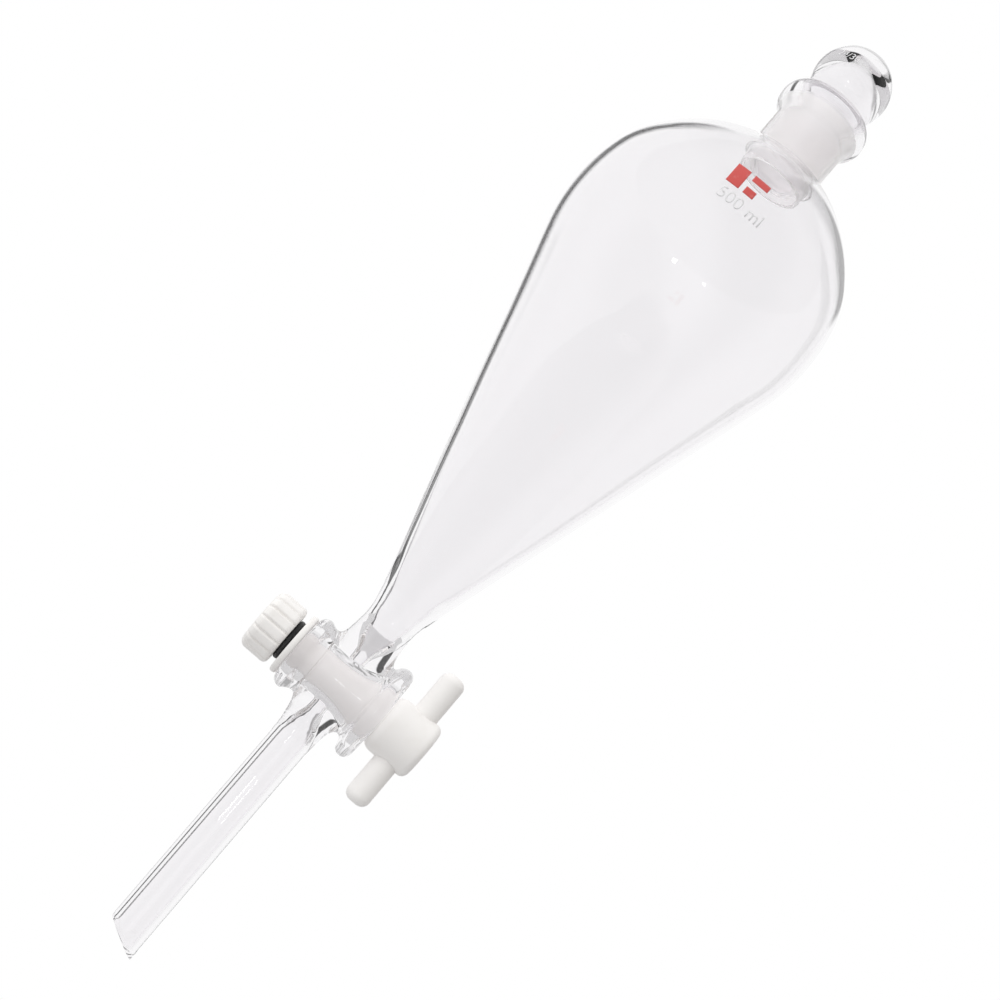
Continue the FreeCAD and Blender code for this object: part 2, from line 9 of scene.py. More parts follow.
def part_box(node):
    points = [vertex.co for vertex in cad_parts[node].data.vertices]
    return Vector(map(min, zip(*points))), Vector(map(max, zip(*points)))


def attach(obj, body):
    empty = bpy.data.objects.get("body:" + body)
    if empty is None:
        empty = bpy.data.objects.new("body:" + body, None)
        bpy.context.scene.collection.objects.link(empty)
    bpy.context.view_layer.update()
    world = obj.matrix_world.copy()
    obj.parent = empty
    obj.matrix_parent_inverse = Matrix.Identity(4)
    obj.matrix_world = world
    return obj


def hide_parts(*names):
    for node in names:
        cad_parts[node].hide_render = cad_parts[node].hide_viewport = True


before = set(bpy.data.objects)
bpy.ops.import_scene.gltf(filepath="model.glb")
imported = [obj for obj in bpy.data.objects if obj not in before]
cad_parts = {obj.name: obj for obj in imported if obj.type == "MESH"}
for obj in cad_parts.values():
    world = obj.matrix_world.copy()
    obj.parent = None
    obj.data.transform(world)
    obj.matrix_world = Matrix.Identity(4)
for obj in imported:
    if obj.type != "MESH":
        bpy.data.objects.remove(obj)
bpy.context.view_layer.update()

bl_info = {
    "name": "Separatory Funnel",
    "version": (1, 0, 0),
    "blender": (4, 5, 0),
    "location": "3D View > Sidebar > Funnel",
    "description": "A blown glass separatory funnel with its stopper and plastic stopcock",
    "category": "Add Mesh",
}

# Lengths inside the functions are millimetres, heights are over the stopcock's axis, and x runs
# along that axis towards the handle.
BAR_LOW, BAR_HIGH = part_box("handle_bar")
AXIS_HEIGHT = (BAR_LOW.z + BAR_HIGH.z) / 2
MM = 0.001
TURN = 2 * math.pi
BAR_PLACE = 26.7        # middle of the handle bar along the stopcock's axis
BORE_SLOPE = 0.1        # taper of the stopcock's bore, on the radius
JOINT_SLOPE = 0.05      # taper of the ground joint, on the radius
WORKING_GAP = 0.08      # between ground cones and their sockets
THREAD_ROUNDING = 0.8   # under one, the thread's crests are broader than its roots
AXIS_POINT = 0.001      # a radius small enough to be the axis


# ---------------------------------------------------------------- sizes and colours

def length(name, description, millimetres):
    """A length that a user can change, shown in the scene's unit."""
    return bpy.props.FloatProperty(
        name=name, description=description, default=millimetres * MM,
        min=0.0, precision=5, unit="LENGTH",
    )


def colour(name, description, red, green, blue):
    """A colour that a user can change."""
    return bpy.props.FloatVectorProperty(
        name=name, description=description, default=(red, green, blue),
        subtype="COLOR", min=0.0, max=1.0, size=3,
    )


class GlassSizes(bpy.types.PropertyGroup):
    """The blown body: pear, neck and drip stem."""
    bulb_radius: length("Bulb Radius", "Outside radius of the pear's widest circle", 48.45)
    equator: length("Equator", "Height of the widest circle over the stopcock", 173.0)
    belly_arc: length("Belly Arc", "Radius of the outline through the widest circle", 64.7)
    shoulder_arc: length("Shoulder Arc", "Radius of the outline over the shoulder", 33.0)
    crown_arc: length("Crown Arc", "Radius of the outline under the neck", 56.0)
    wall: length("Wall", "Thickness of the blown wall", 1.9)
    weld: length("Weld", "Height of the seal between cone and stopcock", 33.0)
    weld_radius: length("Weld Radius", "Outside radius at that seal", 10.0)
    weld_bore: length("Weld Bore", "Inside radius at that seal", 7.2)
    neck_radius: length("Neck Radius", "Outside radius of the straight neck", 13.1)
    joint_radius: length("Joint Radius", "Large-end radius of the ground joint", 12.0)
    joint_length: length("Joint Length", "Length of the ground joint", 30.0)
    rim_radius: length("Rim Radius", "Outside radius of the rolled rim", 16.45)
    stem_radius: length("Stem Radius", "Outside radius of the drip stem", 6.5)
    stem_bore: length("Stem Bore", "Inside radius of the drip stem", 4.5)
    stem_depth: length("Stem Depth", "Tip's long side under the stopcock", 102.9)
    tip_slant: bpy.props.FloatProperty(
        name="Tip Slant", description="Slant of the drip tip from square",
        default=math.radians(27.5), min=0.0, max=1.2, subtype="ANGLE",
    )


class StopperSizes(bpy.types.PropertyGroup):
    """The hollow glass stopper."""
    head_radius: length("Head Radius", "Radius of the round head", 13.55)
    head_height: length("Head Height", "Height of the head's centre over the stopcock", 257.3)
    neck_radius: length("Neck Radius", "Radius of the neck under the head", 12.3)
    wall: length("Wall", "Thickness of the hollow stopper's wall", 1.7)
    top_wall: length("Top Wall", "Thickness of the glass at the top of the head", 4.8)


class StopcockSizes(bpy.types.PropertyGroup):
    """The barrel, and the plastic plug, handle, washer, O-ring and nut."""
    half_length: length("Half Length", "Half the barrel's length", 17.0)
    barrel_radius: length("Barrel Radius", "Outside radius between the flanges", 10.3)
    key_radius: length("Key Radius", "Bore's radius at the handle's end", 9.4)
    way_radius: length("Way Radius", "Radius of the liquid's way", 2.0)
    head_radius: length("Head Radius", "Radius of the plug's head", 9.8)
    shank_radius: length("Shank Radius", "Outside radius of the threaded shank", 5.0)
    pitch: length("Pitch", "Pitch of the shank's thread", 1.5)
    bar_radius: length("Bar Radius", "Radius of the handle bar", 4.2)
    washer_radius: length("Washer Radius", "Outside radius of the washer", 10.75)
    ring_radius: length("Ring Radius", "Outside radius of the squeezed O-ring", 7.1)
    nut_radius: length("Nut Radius", "Outside radius of the nut", 10.5)
    flutes: bpy.props.IntProperty(
        name="Flutes", description="Flutes round the nut", default=16, min=3, max=60,
    )


class FinishColours(bpy.types.PropertyGroup):
    """The colours of the finishes."""
    glass: colour("Glass", "Tint of the clear glass", 0.949, 0.941, 0.951)
    ground: colour("Ground Glass", "Tint of the frosted joint", 0.995, 0.985, 0.982)
    ptfe: colour("Plastic", "Turned white plastic", 0.912, 0.897, 0.878)
    ptfe_dust: colour("Plastic Dust", "Plastic where it is handled", 0.84, 0.815, 0.785)
    rubber: colour("Rubber", "O-ring", 0.012, 0.012, 0.013)
    red_print: colour("Red Print", "Red enamel on the bulb", 0.62, 0.085, 0.075)
    pale_print: colour("Pale Print", "White enamel numbers", 0.80, 0.80, 0.81)
    floor: colour("Floor", "The floor under the stand", 0.68, 0.68, 0.685)


class Millimetres:
    """Reads a property group's lengths in millimetres."""

    def __init__(self, group):
        self.group = group

    def __getattr__(self, name):
        return getattr(self.group, name) / MM


# ---------------------------------------------------------------- outlines

def arc(centre, radius, first, last, count):
    """Points on an arc between two angles in degrees, both ends included."""
    angles = np.radians(np.linspace(first, last, count))
    return [(centre[0] + radius * math.cos(a), centre[1] + radius * math.sin(a)) for a in angles]


def spaced(points, step):
    """The same polyline with points no further apart than step."""
    result = [points[0]]
    for start, end in zip(points, points[1:]):
        count = max(1, math.ceil(math.dist(start, end) / step))
        for index in range(1, count + 1):
            share = index / count
            result.append(tuple(a + (b - a) * share for a, b in zip(start, end)))
    return result


def round_corners(points, radius, count=4, closed=False):
    """The polyline with each corner replaced by a small curve."""
    result = []
    total = len(points)
    for index, corner in enumerate(points):
        if not closed and index in (0, total - 1):
            result.append(corner)
            continue
        before = Vector(points[index - 1])
        after = Vector(points[(index + 1) % total])
        corner = Vector(corner)
        reach_in = min(radius, (before - corner).length * 0.45)
        reach_out = min(radius, (after - corner).length * 0.45)
        start = corner + (before - corner).normalized() * reach_in
        end = corner + (after - corner).normalized() * reach_out
        for step in range(count + 1):
            t = step / count
            point = start * (1 - t) ** 2 + corner * 2 * t * (1 - t) + end * t * t
            result.append(tuple(point))
    return result


class Pear:
    """The pear's outline, outside and inside, as the glassblower's mould gives it."""

    def __init__(self, sizes):
        self.sizes = sizes
        self.belly_end, self.shoulder_end = 13.0, 31.0
        self.fillet = 2.5
        belly = (sizes.bulb_radius - sizes.belly_arc, sizes.equator)
        reach = math.dist(belly, (sizes.weld_radius, sizes.weld))
        lean = math.atan2(belly[0] - sizes.weld_radius, sizes.equator - sizes.weld)
        self.cone = math.degrees(math.asin(sizes.belly_arc / reach) + lean)
        shoulder = self.step(belly, sizes.belly_arc - sizes.shoulder_arc, self.belly_end)
        crown = self.step(shoulder, sizes.shoulder_arc - sizes.crown_arc, self.shoulder_end)
        self.centres = (belly, shoulder, crown)
        across = sizes.neck_radius + self.fillet - crown[0]
        self.collar = crown[1] + math.sqrt((sizes.crown_arc + self.fillet) ** 2 - across ** 2)
        self.crown_end = math.degrees(math.atan2(self.collar - crown[1], across))

    def step(self, centre, distance, angle):
        turn = math.radians(angle)
        return centre[0] + distance * math.cos(turn), centre[1] + distance * math.sin(turn)

    def shell(self, inset, last):
        """The three arcs, moved in by inset, from the cone's end up to the slope last."""
        belly, shoulder, crown = self.centres
        sizes = self.sizes
        points = arc(belly, sizes.belly_arc - inset, -self.cone, self.belly_end, 28)
        points += arc(shoulder, sizes.shoulder_arc - inset,
                      self.belly_end, self.shoulder_end, 9)[1:]
        points += arc(crown, sizes.crown_arc - inset, self.shoulder_end, last, 30)[1:]
        return points

    def outside(self):
        """From the seal up to the neck, with the fillet under the neck."""
        sizes = self.sizes
        cone = [(sizes.weld_radius, sizes.weld)]
        points = spaced(cone + self.shell(0.0, self.crown_end)[:1], 2.0)[:-1]
        points += self.shell(0.0, self.crown_end)
        centre = (sizes.neck_radius + self.fillet, self.collar)
        points += arc(centre, self.fillet, self.crown_end + 180, 180, 7)[1:]
        return points

    def inside(self, across):
        """From the seal up to the circle of that radius under the neck."""
        crown = self.centres[2]
        inner = self.sizes.crown_arc - self.sizes.wall
        last = math.degrees(math.acos((across - crown[0]) / inner))
        shell = self.shell(self.sizes.wall, last)
        foot_height = 68.0
        edge, height = shell[0]
        narrowing = (height - foot_height) * math.tan(math.radians(self.cone))
        lower = [(self.sizes.weld_bore, self.sizes.weld), (edge - narrowing, foot_height)]
        return spaced(round_corners(lower + [shell[0]], 12.0), 2.0)[:-1] + shell


def joint_outline(sizes, collar):
    """From the neck over the rolled rim, down the ground socket and round its tail's end.

    Also gives the heights of the socket's mouth, of its foot and of the rim's top.
    """
    rim_arc, neck_top = 7.5, collar + 12.3
    across = sizes.rim_radius - rim_arc
    rim = neck_top + math.sqrt(rim_arc ** 2 - (sizes.neck_radius - across) ** 2)
    top, mouth = rim + 6.0, rim + 3.2
    start = math.degrees(math.atan2(neck_top - rim, sizes.neck_radius - across))
    end = math.degrees(math.asin(5.3 / rim_arc))
    lip = arc((across, rim), rim_arc, start, end, 20)
    foot = mouth - sizes.joint_length
    foot_radius = sizes.joint_radius - sizes.joint_length * JOINT_SLOPE
    points = [(sizes.neck_radius, collar + 1.0), (sizes.neck_radius, neck_top - 1.2)]
    points += [(sizes.neck_radius + 0.12, neck_top - 0.2)] + lip[1:]
    points += [(13.45, top - 0.12), (12.95, top - 0.05), (sizes.joint_radius + 0.62, top - 0.45)]
    points += [(sizes.joint_radius + 0.3, top - 1.3), (sizes.joint_radius, mouth)]
    ground = [(sizes.joint_radius, mouth), (foot_radius, foot)]
    points += spaced(ground, 1.0)[1:]
    points += [(foot_radius + 0.35, foot - 0.45), (foot_radius + 0.85, foot - 0.5)]
    points += [(foot_radius + 1.35, foot - 0.2), (foot_radius + 1.5, foot + 0.4)]
    return points, mouth, foot, top


# ---------------------------------------------------------------- meshes

def placed(points, along_x=False):
    """Millimetres over the stopcock's axis to metres in the frame."""
    points = np.asarray(points, float)
    if along_x:
        points = points[:, [2, 0, 1]]
    return points * MM + np.array([0.0, 0.0, AXIS_HEIGHT])


def ring_faces(count, segments, closed=False):
    """The quads between rings that follow each other, and back to the first if closed."""
    faces = []
    for row in range(count if closed else count - 1):
        low, high = row * segments, ((row + 1) % count) * segments
        for column in range(segments):
            after = (column + 1) % segments
            faces.append((low + column, low + after, high + after, high + column))
    return faces


def revolve(outline, segments, closed=False):
    """Rings of points for an outline of (radius, height), and the quads between them."""
    turns = np.arange(segments) / segments * TURN
    along, across = np.cos(turns), np.sin(turns)
    rings = [np.column_stack([radius * along, radius * across, np.full(segments, height)])
             for radius, height in outline]
    return np.concatenate(rings), ring_faces(len(outline), segments, closed)


def moved_out(points, distance):
    """Points moved away from the funnel's axis by those distances."""
    radius = np.maximum(np.hypot(points[:, 0], points[:, 1]), AXIS_POINT)
    ways = points / radius[:, None] * np.array([1, 1, 0])
    return points + ways * distance[:, None]


def capped(points, faces, segments, ends=("start", "end")):
    """Closes a revolved band with a fan at its first and last ring."""
    points = list(map(tuple, points))
    faces = list(faces)
    rings = {"start": 0, "end": len(points) - segments}
    for end in ends:
        first = rings[end]
        middle = np.mean(points[first:first + segments], axis=0)
        points.append(tuple(middle))
        top = len(points) - 1
        for column in range(segments):
            after = (column + 1) % segments
            faces.append((first + column, first + after, top))
    return np.array(points), faces


def make_object(name, points, faces, materials, smooth_angle=None):
    """A mesh object with outward normals, smooth shading and its materials."""
    mesh = bpy.data.meshes.new(name)
    mesh.from_pydata([tuple(p) for p in points], [], [tuple(int(i) for i in f) for f in faces])
    build = bmesh.new()
    build.from_mesh(mesh)
    bmesh.ops.remove_doubles(build, verts=build.verts, dist=1e-7)
    bmesh.ops.recalc_face_normals(build, faces=build.faces)
    build.to_mesh(mesh)
    build.free()
    mesh.polygons.foreach_set("use_smooth", [True] * len(mesh.polygons))
    if smooth_angle is not None:
        mesh.set_sharp_from_angle(angle=math.radians(smooth_angle))
    for material in materials:
        mesh.materials.append(material)
    item = bpy.data.objects.new(name, mesh)
    bpy.context.scene.collection.objects.link(item)
    return item


def paint_faces(item, index, wanted):
    """Gives the material of that index to the faces whose centre and normal are wanted."""
    for face in item.data.polygons:
        centre = (face.center - Vector((0, 0, AXIS_HEIGHT))) / MM
        if wanted(centre, face.normal):
            face.material_index = index


def ripple(points, strength, scale, seed):
    """A smooth unevenness of blown glass at those points: sums of waves, in millimetres."""
    points = np.asarray(points, float)
    draw = np.random.default_rng(seed)
    total = np.zeros(len(points))
    for _ in range(9):
        way = draw.normal(size=3)
        way /= np.linalg.norm(way)
        phase = draw.uniform(0, TURN)
        total += np.sin(points @ way * (TURN / scale) * draw.uniform(0.6, 1.6) + phase)
    return strength * total / 3.0


# ---------------------------------------------------------------- the welded stopcock

class OutlineField:
    """Distance to a closed outline in two coordinates, read from a table."""

    def __init__(self, outline, low, high, step=0.1, soften=2):
        self.low, self.step = np.array(low, float), step
        axes = [np.arange(l, h + step, step) for l, h in zip(low, high)]
        first, second = np.meshgrid(*axes, indexing="ij")
        here = np.stack([first, second], axis=-1)
        corners = np.array(outline, float)
        distance = np.full(first.shape, 1e9)
        inside = np.zeros(first.shape, bool)
        for start, end in zip(corners, np.roll(corners, -1, axis=0)):
            way = end - start
            size = max(float(way @ way), 1e-12)
            share = np.clip(((here - start) @ way) / size, 0, 1)
            gap = here - start - share[..., None] * way
            distance = np.minimum(distance, (gap ** 2).sum(-1))
            crosses = (start[1] > second) != (end[1] > second)
            run = way[1] if abs(way[1]) > 1e-12 else 1e-12
            inside ^= crosses & (first < start[0] + (second - start[1]) * way[0] / run)
        table = np.sqrt(distance) * np.where(inside, -1.0, 1.0)
        for _ in range(soften):
            wide = np.pad(table, 1, mode="edge")
            table = sum(wide[i:i + table.shape[0], j:j + table.shape[1]]
                        for i in range(3) for j in range(3)) / 9
        self.table = table

    def __call__(self, first, second):
        across = np.clip((first - self.low[0]) / self.step, 0, self.table.shape[0] - 1.001)
        up = np.clip((second - self.low[1]) / self.step, 0, self.table.shape[1] - 1.001)
        i, j = across.astype(int), up.astype(int)
        u, v = across - i, up - j
        t = self.table
        return (t[i, j] * (1 - u) * (1 - v) + t[i + 1, j] * u * (1 - v)
                + t[i, j + 1] * (1 - u) * v + t[i + 1, j + 1] * u * v)


def soft_min(a, b, reach):
    """The lesser of two distances, with a fillet where they meet."""
    mix = np.clip(0.5 + 0.5 * (b - a) / reach, 0, 1)
    return b * (1 - mix) + a * mix - reach * mix * (1 - mix)


class StopcockGlass:
    """The barrel with both arms as one distance, so that its welds flow into each other."""

    def __init__(self, glass, cock):
        half, barrel = cock.half_length, cock.barrel_radius
        outline = [(-half, -6.0)]
        outline += arc((3.2 - half, barrel - 0.6), 3.2, 180, 78, 10)
        outline += [(-10.6, barrel + 0.5), (-9.0, barrel - 1.0)]
        outline += [(-7.4, barrel - 1.6), (-5.0, barrel - 1.6)]
        outline += [(5.0, barrel - 0.4), (7.6, barrel + 0.1)]
        outline += arc((7.6, barrel + 3.6), 3.5, 275, 345, 8)
        outline += arc((half - 2.9, barrel + 3.7), 2.9, 150, 0, 14)
        outline += [(half, -6.0)]
        along_low, along_high = (-21, -2), (21, 26)
        self.barrel = OutlineField(outline, along_low, along_high)
        up_low, up_high, ends = (0, -44), (30, 44), 45.0
        over_weld, cone, bore_cone = 12, math.tan(math.radians(16.39)), 0.316
        weld, weld_radius, weld_bore = glass.weld, glass.weld_radius, glass.weld_bore
        stem = glass.stem_radius
        arms = [(-6.0, -ends), (stem, -ends), (stem, -24.0), (6.75, -19.0), (7.3, -15.5)]
        arms += [(8.1, -12.0), (8.7, 0.0), (9.5, 10.5), (8.95, 14.0), (8.35, 18.0)]
        arms += [(8.05, 22.0), (8.2, 25.5), (8.9, 28.8), (weld_radius, weld)]
        arms += [(weld_radius + over_weld * cone, ends), (-6.0, ends)]
        self.arms = OutlineField(arms, up_low, up_high)
        way, bore = cock.way_radius, glass.stem_bore
        ways = [(-6.0, -ends), (bore, -ends), (bore, -21.5), (3.6, -16.5), (2.7, -13.4)]
        ways += [(way, -10.8), (way, 10.6), (2.6, 12.6), (3.6, 15.0), (4.7, 19.0)]
        ways += [(5.6, 24.5), (6.3, 28.5), (weld_bore, weld)]
        ways += [(weld_bore + over_weld * bore_cone, ends), (-6.0, ends)]
        self.ways = OutlineField(ways, up_low, up_high, soften=3)
        key, past = cock.key_radius, 27
        bore_outline = [(-past, key - (half + past) * BORE_SLOPE)]
        bore_outline += [(past, key - (half - past) * BORE_SLOPE), (past, -6), (-past, -6)]
        self.bore = OutlineField(bore_outline, along_low, along_high, soften=0)

    def __call__(self, points):
        x, y, z = points[:, 0], points[:, 1], points[:, 2]
        from_x, from_z = np.hypot(y, z), np.hypot(x, y)
        weld_fillet, bore_fillet, edge_fillet = 4.5, 0.7, 0.6
        outside = soft_min(self.barrel(x, from_x), self.arms(from_z, z), weld_fillet)
        uneven = ripple(points, 0.06, 11.0, 5) + ripple(points, 0.02, 5.0, 8)
        near_welds = np.clip(1 - np.abs(np.abs(z - 4) - 20) / 16, 0, 1)
        off_ends = np.clip((17.0 - np.abs(x)) / 3.0, 0, 1)
        outside = outside + uneven * near_welds * off_ends
        hollow = soft_min(self.ways(from_z, z), self.bore(x, from_x), bore_fillet)
        return -soft_min(-outside, hollow, edge_fillet)


def surface_net(field, low, high, step):
    """The zero surface of a field as points and quads, open where it meets the box."""
    axes = [np.arange(l, h + step * 0.5, step) for l, h in zip(low, high)]
    grid = np.stack(np.meshgrid(*axes, indexing="ij"), axis=-1)
    shape = grid.shape[:3]
    value = field(grid.reshape(-1, 3)).reshape(shape)
    cells = tuple(n - 1 for n in shape)
    total, count = np.zeros(cells + (3,)), np.zeros(cells)
    crossings = []
    for axis in range(3):
        head = [slice(None)] * 3
        tail = [slice(None)] * 3
        head[axis], tail[axis] = slice(0, -1), slice(1, None)
        a, b = value[tuple(head)], value[tuple(tail)]
        cross = (a < 0) != (b < 0)
        share = np.where(cross, a / np.where(cross, a - b, 1.0), 0.0)
        point = grid[tuple(head)].copy()
        point[..., axis] += share * step
        crossings.append(cross)
        others = [k for k in range(3) if k != axis]
        for first in (0, 1):
            for second in (0, 1):
                source = [slice(None)] * 3
                target = [slice(None)] * 3
                for k, shift in zip(others, (first, second)):
                    source[k] = slice(1, None) if shift else slice(0, -1)
                    target[k] = slice(0, cells[k])
                hit = cross[tuple(source)]
                total[tuple(target)] += np.where(hit[..., None], point[tuple(source)], 0.0)
                count[tuple(target)] += hit
    filled = count > 0
    index = np.full(cells, -1)
    index[filled] = np.arange(int(filled.sum()))
    points = total[filled] / count[filled][:, None]
    faces = []
    for axis in range(3):
        others = [k for k in range(3) if k != axis]
        where = np.argwhere(crossings[axis])
        keep = np.ones(len(where), bool)
        for k in others:
            keep &= (where[:, k] > 0) & (where[:, k] < shape[k] - 1)
        where = where[keep]
        quad = []
        for first, second in ((0, 0), (1, 0), (1, 1), (0, 1)):
            cell = where.copy()
            cell[:, others[0]] -= first
            cell[:, others[1]] -= second
            quad.append(index[cell[:, 0], cell[:, 1], cell[:, 2]])
        faces.append(np.stack(quad, axis=1))
    return points, np.concatenate(faces)


def settle(points, field, rounds=4):
    """Moves points along the field's slope until they lie on its zero surface."""
    nudge, longest, least_slope = 0.05, 0.3, 0.05
    for _ in range(rounds):
        here = field(points)
        slope = np.stack([
            (field(points + step) - field(points - step)) / (2 * nudge)
            for step in np.eye(3) * nudge
        ], axis=1)
        size = np.maximum((slope ** 2).sum(1), least_slope)
        move = slope * (here / size)[:, None]
        reach = np.linalg.norm(move, axis=1)
        move *= np.minimum(1.0, longest / np.maximum(reach, 1e-9))[:, None]
        points = points - move
    return points


def open_loops(points, faces):
    """The loops of vertices on a mesh's open edges, each sorted by angle round the funnel."""
    sides = {}
    for face in faces:
        for a, b in zip(face, np.roll(face, -1)):
            key = (min(a, b), max(a, b))
            sides[key] = sides.get(key, 0) + 1
    border = sorted({v for key, uses in sides.items() if uses == 1 for v in key})
    top = [v for v in border if points[v][2] > 0]
    bottom = [v for v in border if points[v][2] <= 0]
    loops = []
    for group in (top, bottom):
        radius = np.hypot(points[group, 0], points[group, 1])
        middle = (radius.min() + radius.max()) / 2
        for wanted in (radius > middle, radius <= middle):
            loop = [v for v, keep in zip(group, wanted) if keep]
            loop.sort(key=lambda v: math.atan2(points[v][1], points[v][0]) % TURN)
            loops.append(loop)
    return loops


def zip_rings(points, first, second):
    """Triangles between two rings of vertices that are sorted by angle."""
    def angles(ring):
        turns = [math.atan2(points[v][1], points[v][0]) % TURN for v in ring]
        return turns + [turns[0] + TURN]

    a, b = angles(first), angles(second)
    faces, i, j = [], 0, 0
    while i < len(first) or j < len(second):
        step_first = j >= len(second) or (i < len(first) and a[i + 1] <= b[j + 1])
        here, there = first[i % len(first)], second[j % len(second)]
        if step_first:
            i += 1
            faces.append((here, first[i % len(first)], there))
        else:
            j += 1
            faces.append((here, second[j % len(second)], there))
    return faces


# ---------------------------------------------------------------- finishes

GLASS_IOR = 1.473
PLASTIC_IOR = 1.36


class Number:
    """A number that varies over a surface. Arithmetic on it adds Math nodes."""

    def __init__(self, finish, socket):
        self.finish, self.socket = finish, socket

    def combine(self, operation, *others):
        values = [item.socket if isinstance(item, Number) else item for item in others]
        return self.finish.node("ShaderNodeMath", {"operation": operation}, dict(enumerate(values)))

    def __add__(self, other):
        return self.combine("ADD", self, other)

    def __radd__(self, other):
        return self.combine("ADD", other, self)

    def __sub__(self, other):
        return self.combine("SUBTRACT", self, other)

    def __rsub__(self, other):
        return self.combine("SUBTRACT", other, self)

    def __mul__(self, other):
        return self.combine("MULTIPLY", self, other)

    def __rmul__(self, other):
        return self.combine("MULTIPLY", other, self)

    def above(self, level):
        """One where the number is above the level, zero elsewhere."""
        return self.combine("GREATER_THAN", self, level)


class Finish:
    """A material, or the world, and the nodes that make it."""

    most_bounces = 7.5
    most_reflections = 2.5

    def __init__(self, name, owner=None):
        self.owner = owner or bpy.data.materials.new(name)
        self.owner.use_nodes = True
        self.tree = self.owner.node_tree
        self.tree.nodes.clear()

    def node(self, kind, settings=None, inputs=None, output=0):
        """Adds a node: its settings first, then the values or links of its sockets."""
        node = self.tree.nodes.new(kind)
        for key, value in (settings or {}).items():
            if key == "stops":
                ramp = node.color_ramp.elements
                while len(ramp) < len(value):
                    ramp.new(0.5)
                for element, (place, shade) in zip(ramp, value):
                    element.position = place
                    element.color = (*shade, 1.0)
            else:
                setattr(node, key, value)
        for key, value in (inputs or {}).items():
            value = value.socket if isinstance(value, Number) else value
            if isinstance(value, bpy.types.NodeSocket):
                self.tree.links.new(value, node.inputs[key])
            else:
                node.inputs[key].default_value = value
        return Number(self, node.outputs[output])

    def place(self):
        """The place on the piece, in metres, which moves along with it."""
        return self.node("ShaderNodeTexCoord", output="Object").socket

    def noise(self, scale, detail=3.0, stretch=(1.0, 1.0, 1.0)):
        """Cloudy noise with lumps of about one over scale metres."""
        where = self.node("ShaderNodeVectorMath", {"operation": "MULTIPLY"},
                          {0: self.place(), 1: stretch})
        return self.node("ShaderNodeTexNoise", {"noise_dimensions": "3D"},
                         {"Vector": where, "Scale": scale, "Detail": detail})

    def between(self, value, low, high):
        """Zero at low, one at high, and smooth on the way."""
        return self.node("ShaderNodeMapRange", {"interpolation_type": "SMOOTHSTEP"},
                         {"Value": value, "From Min": low, "From Max": high})

    def blend(self, share, first, second):
        """Two colours mixed by a number."""
        return self.node("ShaderNodeMix", {"data_type": "RGBA"},
                         {0: share, 6: first, 7: second}, output=2)

    def band(self, value, low, high, end, gone):
        """One from high to end, zero under low and over gone."""
        return self.between(value, low, high) * (1 - self.between(value, end, gone))

    def bump(self, height, strength, distance):
        return self.node("ShaderNodeBump", None,
                         {"Height": height, "Strength": strength, "Distance": distance})

    def surface(self, passes=None, **sockets):
        """Ends the material with a Principled shader.

        With passes, the tint of the light that goes straight through, lamp light and scattered
        light reach what is behind the glass, and rays trapped in the glass leave it.
        """
        inputs = {key.replace("_", " "): value for key, value in sockets.items()}
        shader = self.node("ShaderNodeBsdfPrincipled", None, inputs)
        if passes:
            ports = self.node("ShaderNodeLightPath").socket.node.outputs
            onward = Number(self, ports["Is Shadow Ray"]) + Number(self, ports["Is Diffuse Ray"])
            onward = onward + Number(self, ports["Ray Depth"]).above(self.most_bounces)
            onward = onward + Number(self, ports["Glossy Depth"]).above(self.most_reflections)
            clear = self.node("ShaderNodeBsdfTransparent", None, {"Color": solid(passes)})
            shader = self.node("ShaderNodeMixShader", None, {0: onward, 1: shader, 2: clear})
        end = self.tree.nodes.new("ShaderNodeOutputMaterial")
        self.tree.links.new(shader.socket, end.inputs["Surface"])
        return self.owner


def solid(shade):
    """A colour with the opacity that a node's socket wants."""
    return (*shade, 1.0)


def dimmed(tint, share):
    """That share of a colour, as a node's socket wants it."""
    return solid([c * share for c in tint])


def clear_glass(name, tint):
    """Fire-polished glass: clear, a little uneven, with faint wipe marks."""
    finish = Finish(name)
    wipes = finish.noise(60.0, 4.0, (1.0, 1.0, 0.25))
    marks = finish.between(wipes, 0.62, 0.8)
    waves = finish.noise(45.0, 1.0)
    return finish.surface(
        passes=[math.sqrt(c) for c in tint],
        Base_Color=finish.blend(marks, solid(tint), dimmed(tint, 0.985)),
        Roughness=marks * 0.03,
        IOR=GLASS_IOR,
        Transmission_Weight=1.0,
        Normal=finish.bump(waves, 0.03, 0.001),
    )


def ground_glass(name, tint):
    """The frosted surface of a ground joint: fine grit with rings left by the grinding."""
    finish = Finish(name)
    grit = finish.noise(3500.0, 3.0)
    rings = finish.noise(900.0, 2.0, (0.02, 0.02, 1.0))
    cloud = finish.noise(90.0, 2.0)
    return finish.surface(
        passes=tint,
        Base_Color=finish.blend(cloud, solid(tint), dimmed(tint, 0.97)),
        Roughness=0.24 + grit * 0.12 + rings * 0.08,
        IOR=GLASS_IOR,
        Transmission_Weight=0.68,
        Normal=finish.bump(grit + rings * 0.6, 0.25, 0.0001),
    )


def turned_plastic(name, pale, dusty, along):
    """White plastic off the lathe: waxy, with fine rings across the turning axis."""
    finish = Finish(name)
    stretch = tuple(1.0 if axis == along else 0.02 for axis in "xyz")
    rings = finish.noise(2600.0, 2.0, stretch)
    cloud = finish.noise(130.0, 4.0)
    grain = finish.noise(1500.0, 3.0)
    stain = finish.between(cloud, 0.48, 0.78)
    return finish.surface(
        Base_Color=finish.blend(stain * 0.45, solid(pale), solid(dusty)),
        Roughness=0.36 + cloud * 0.14 + rings * 0.06,
        IOR=PLASTIC_IOR,
        Normal=finish.bump(rings * 0.8 + grain * 0.35, 0.22, 0.00012),
    )


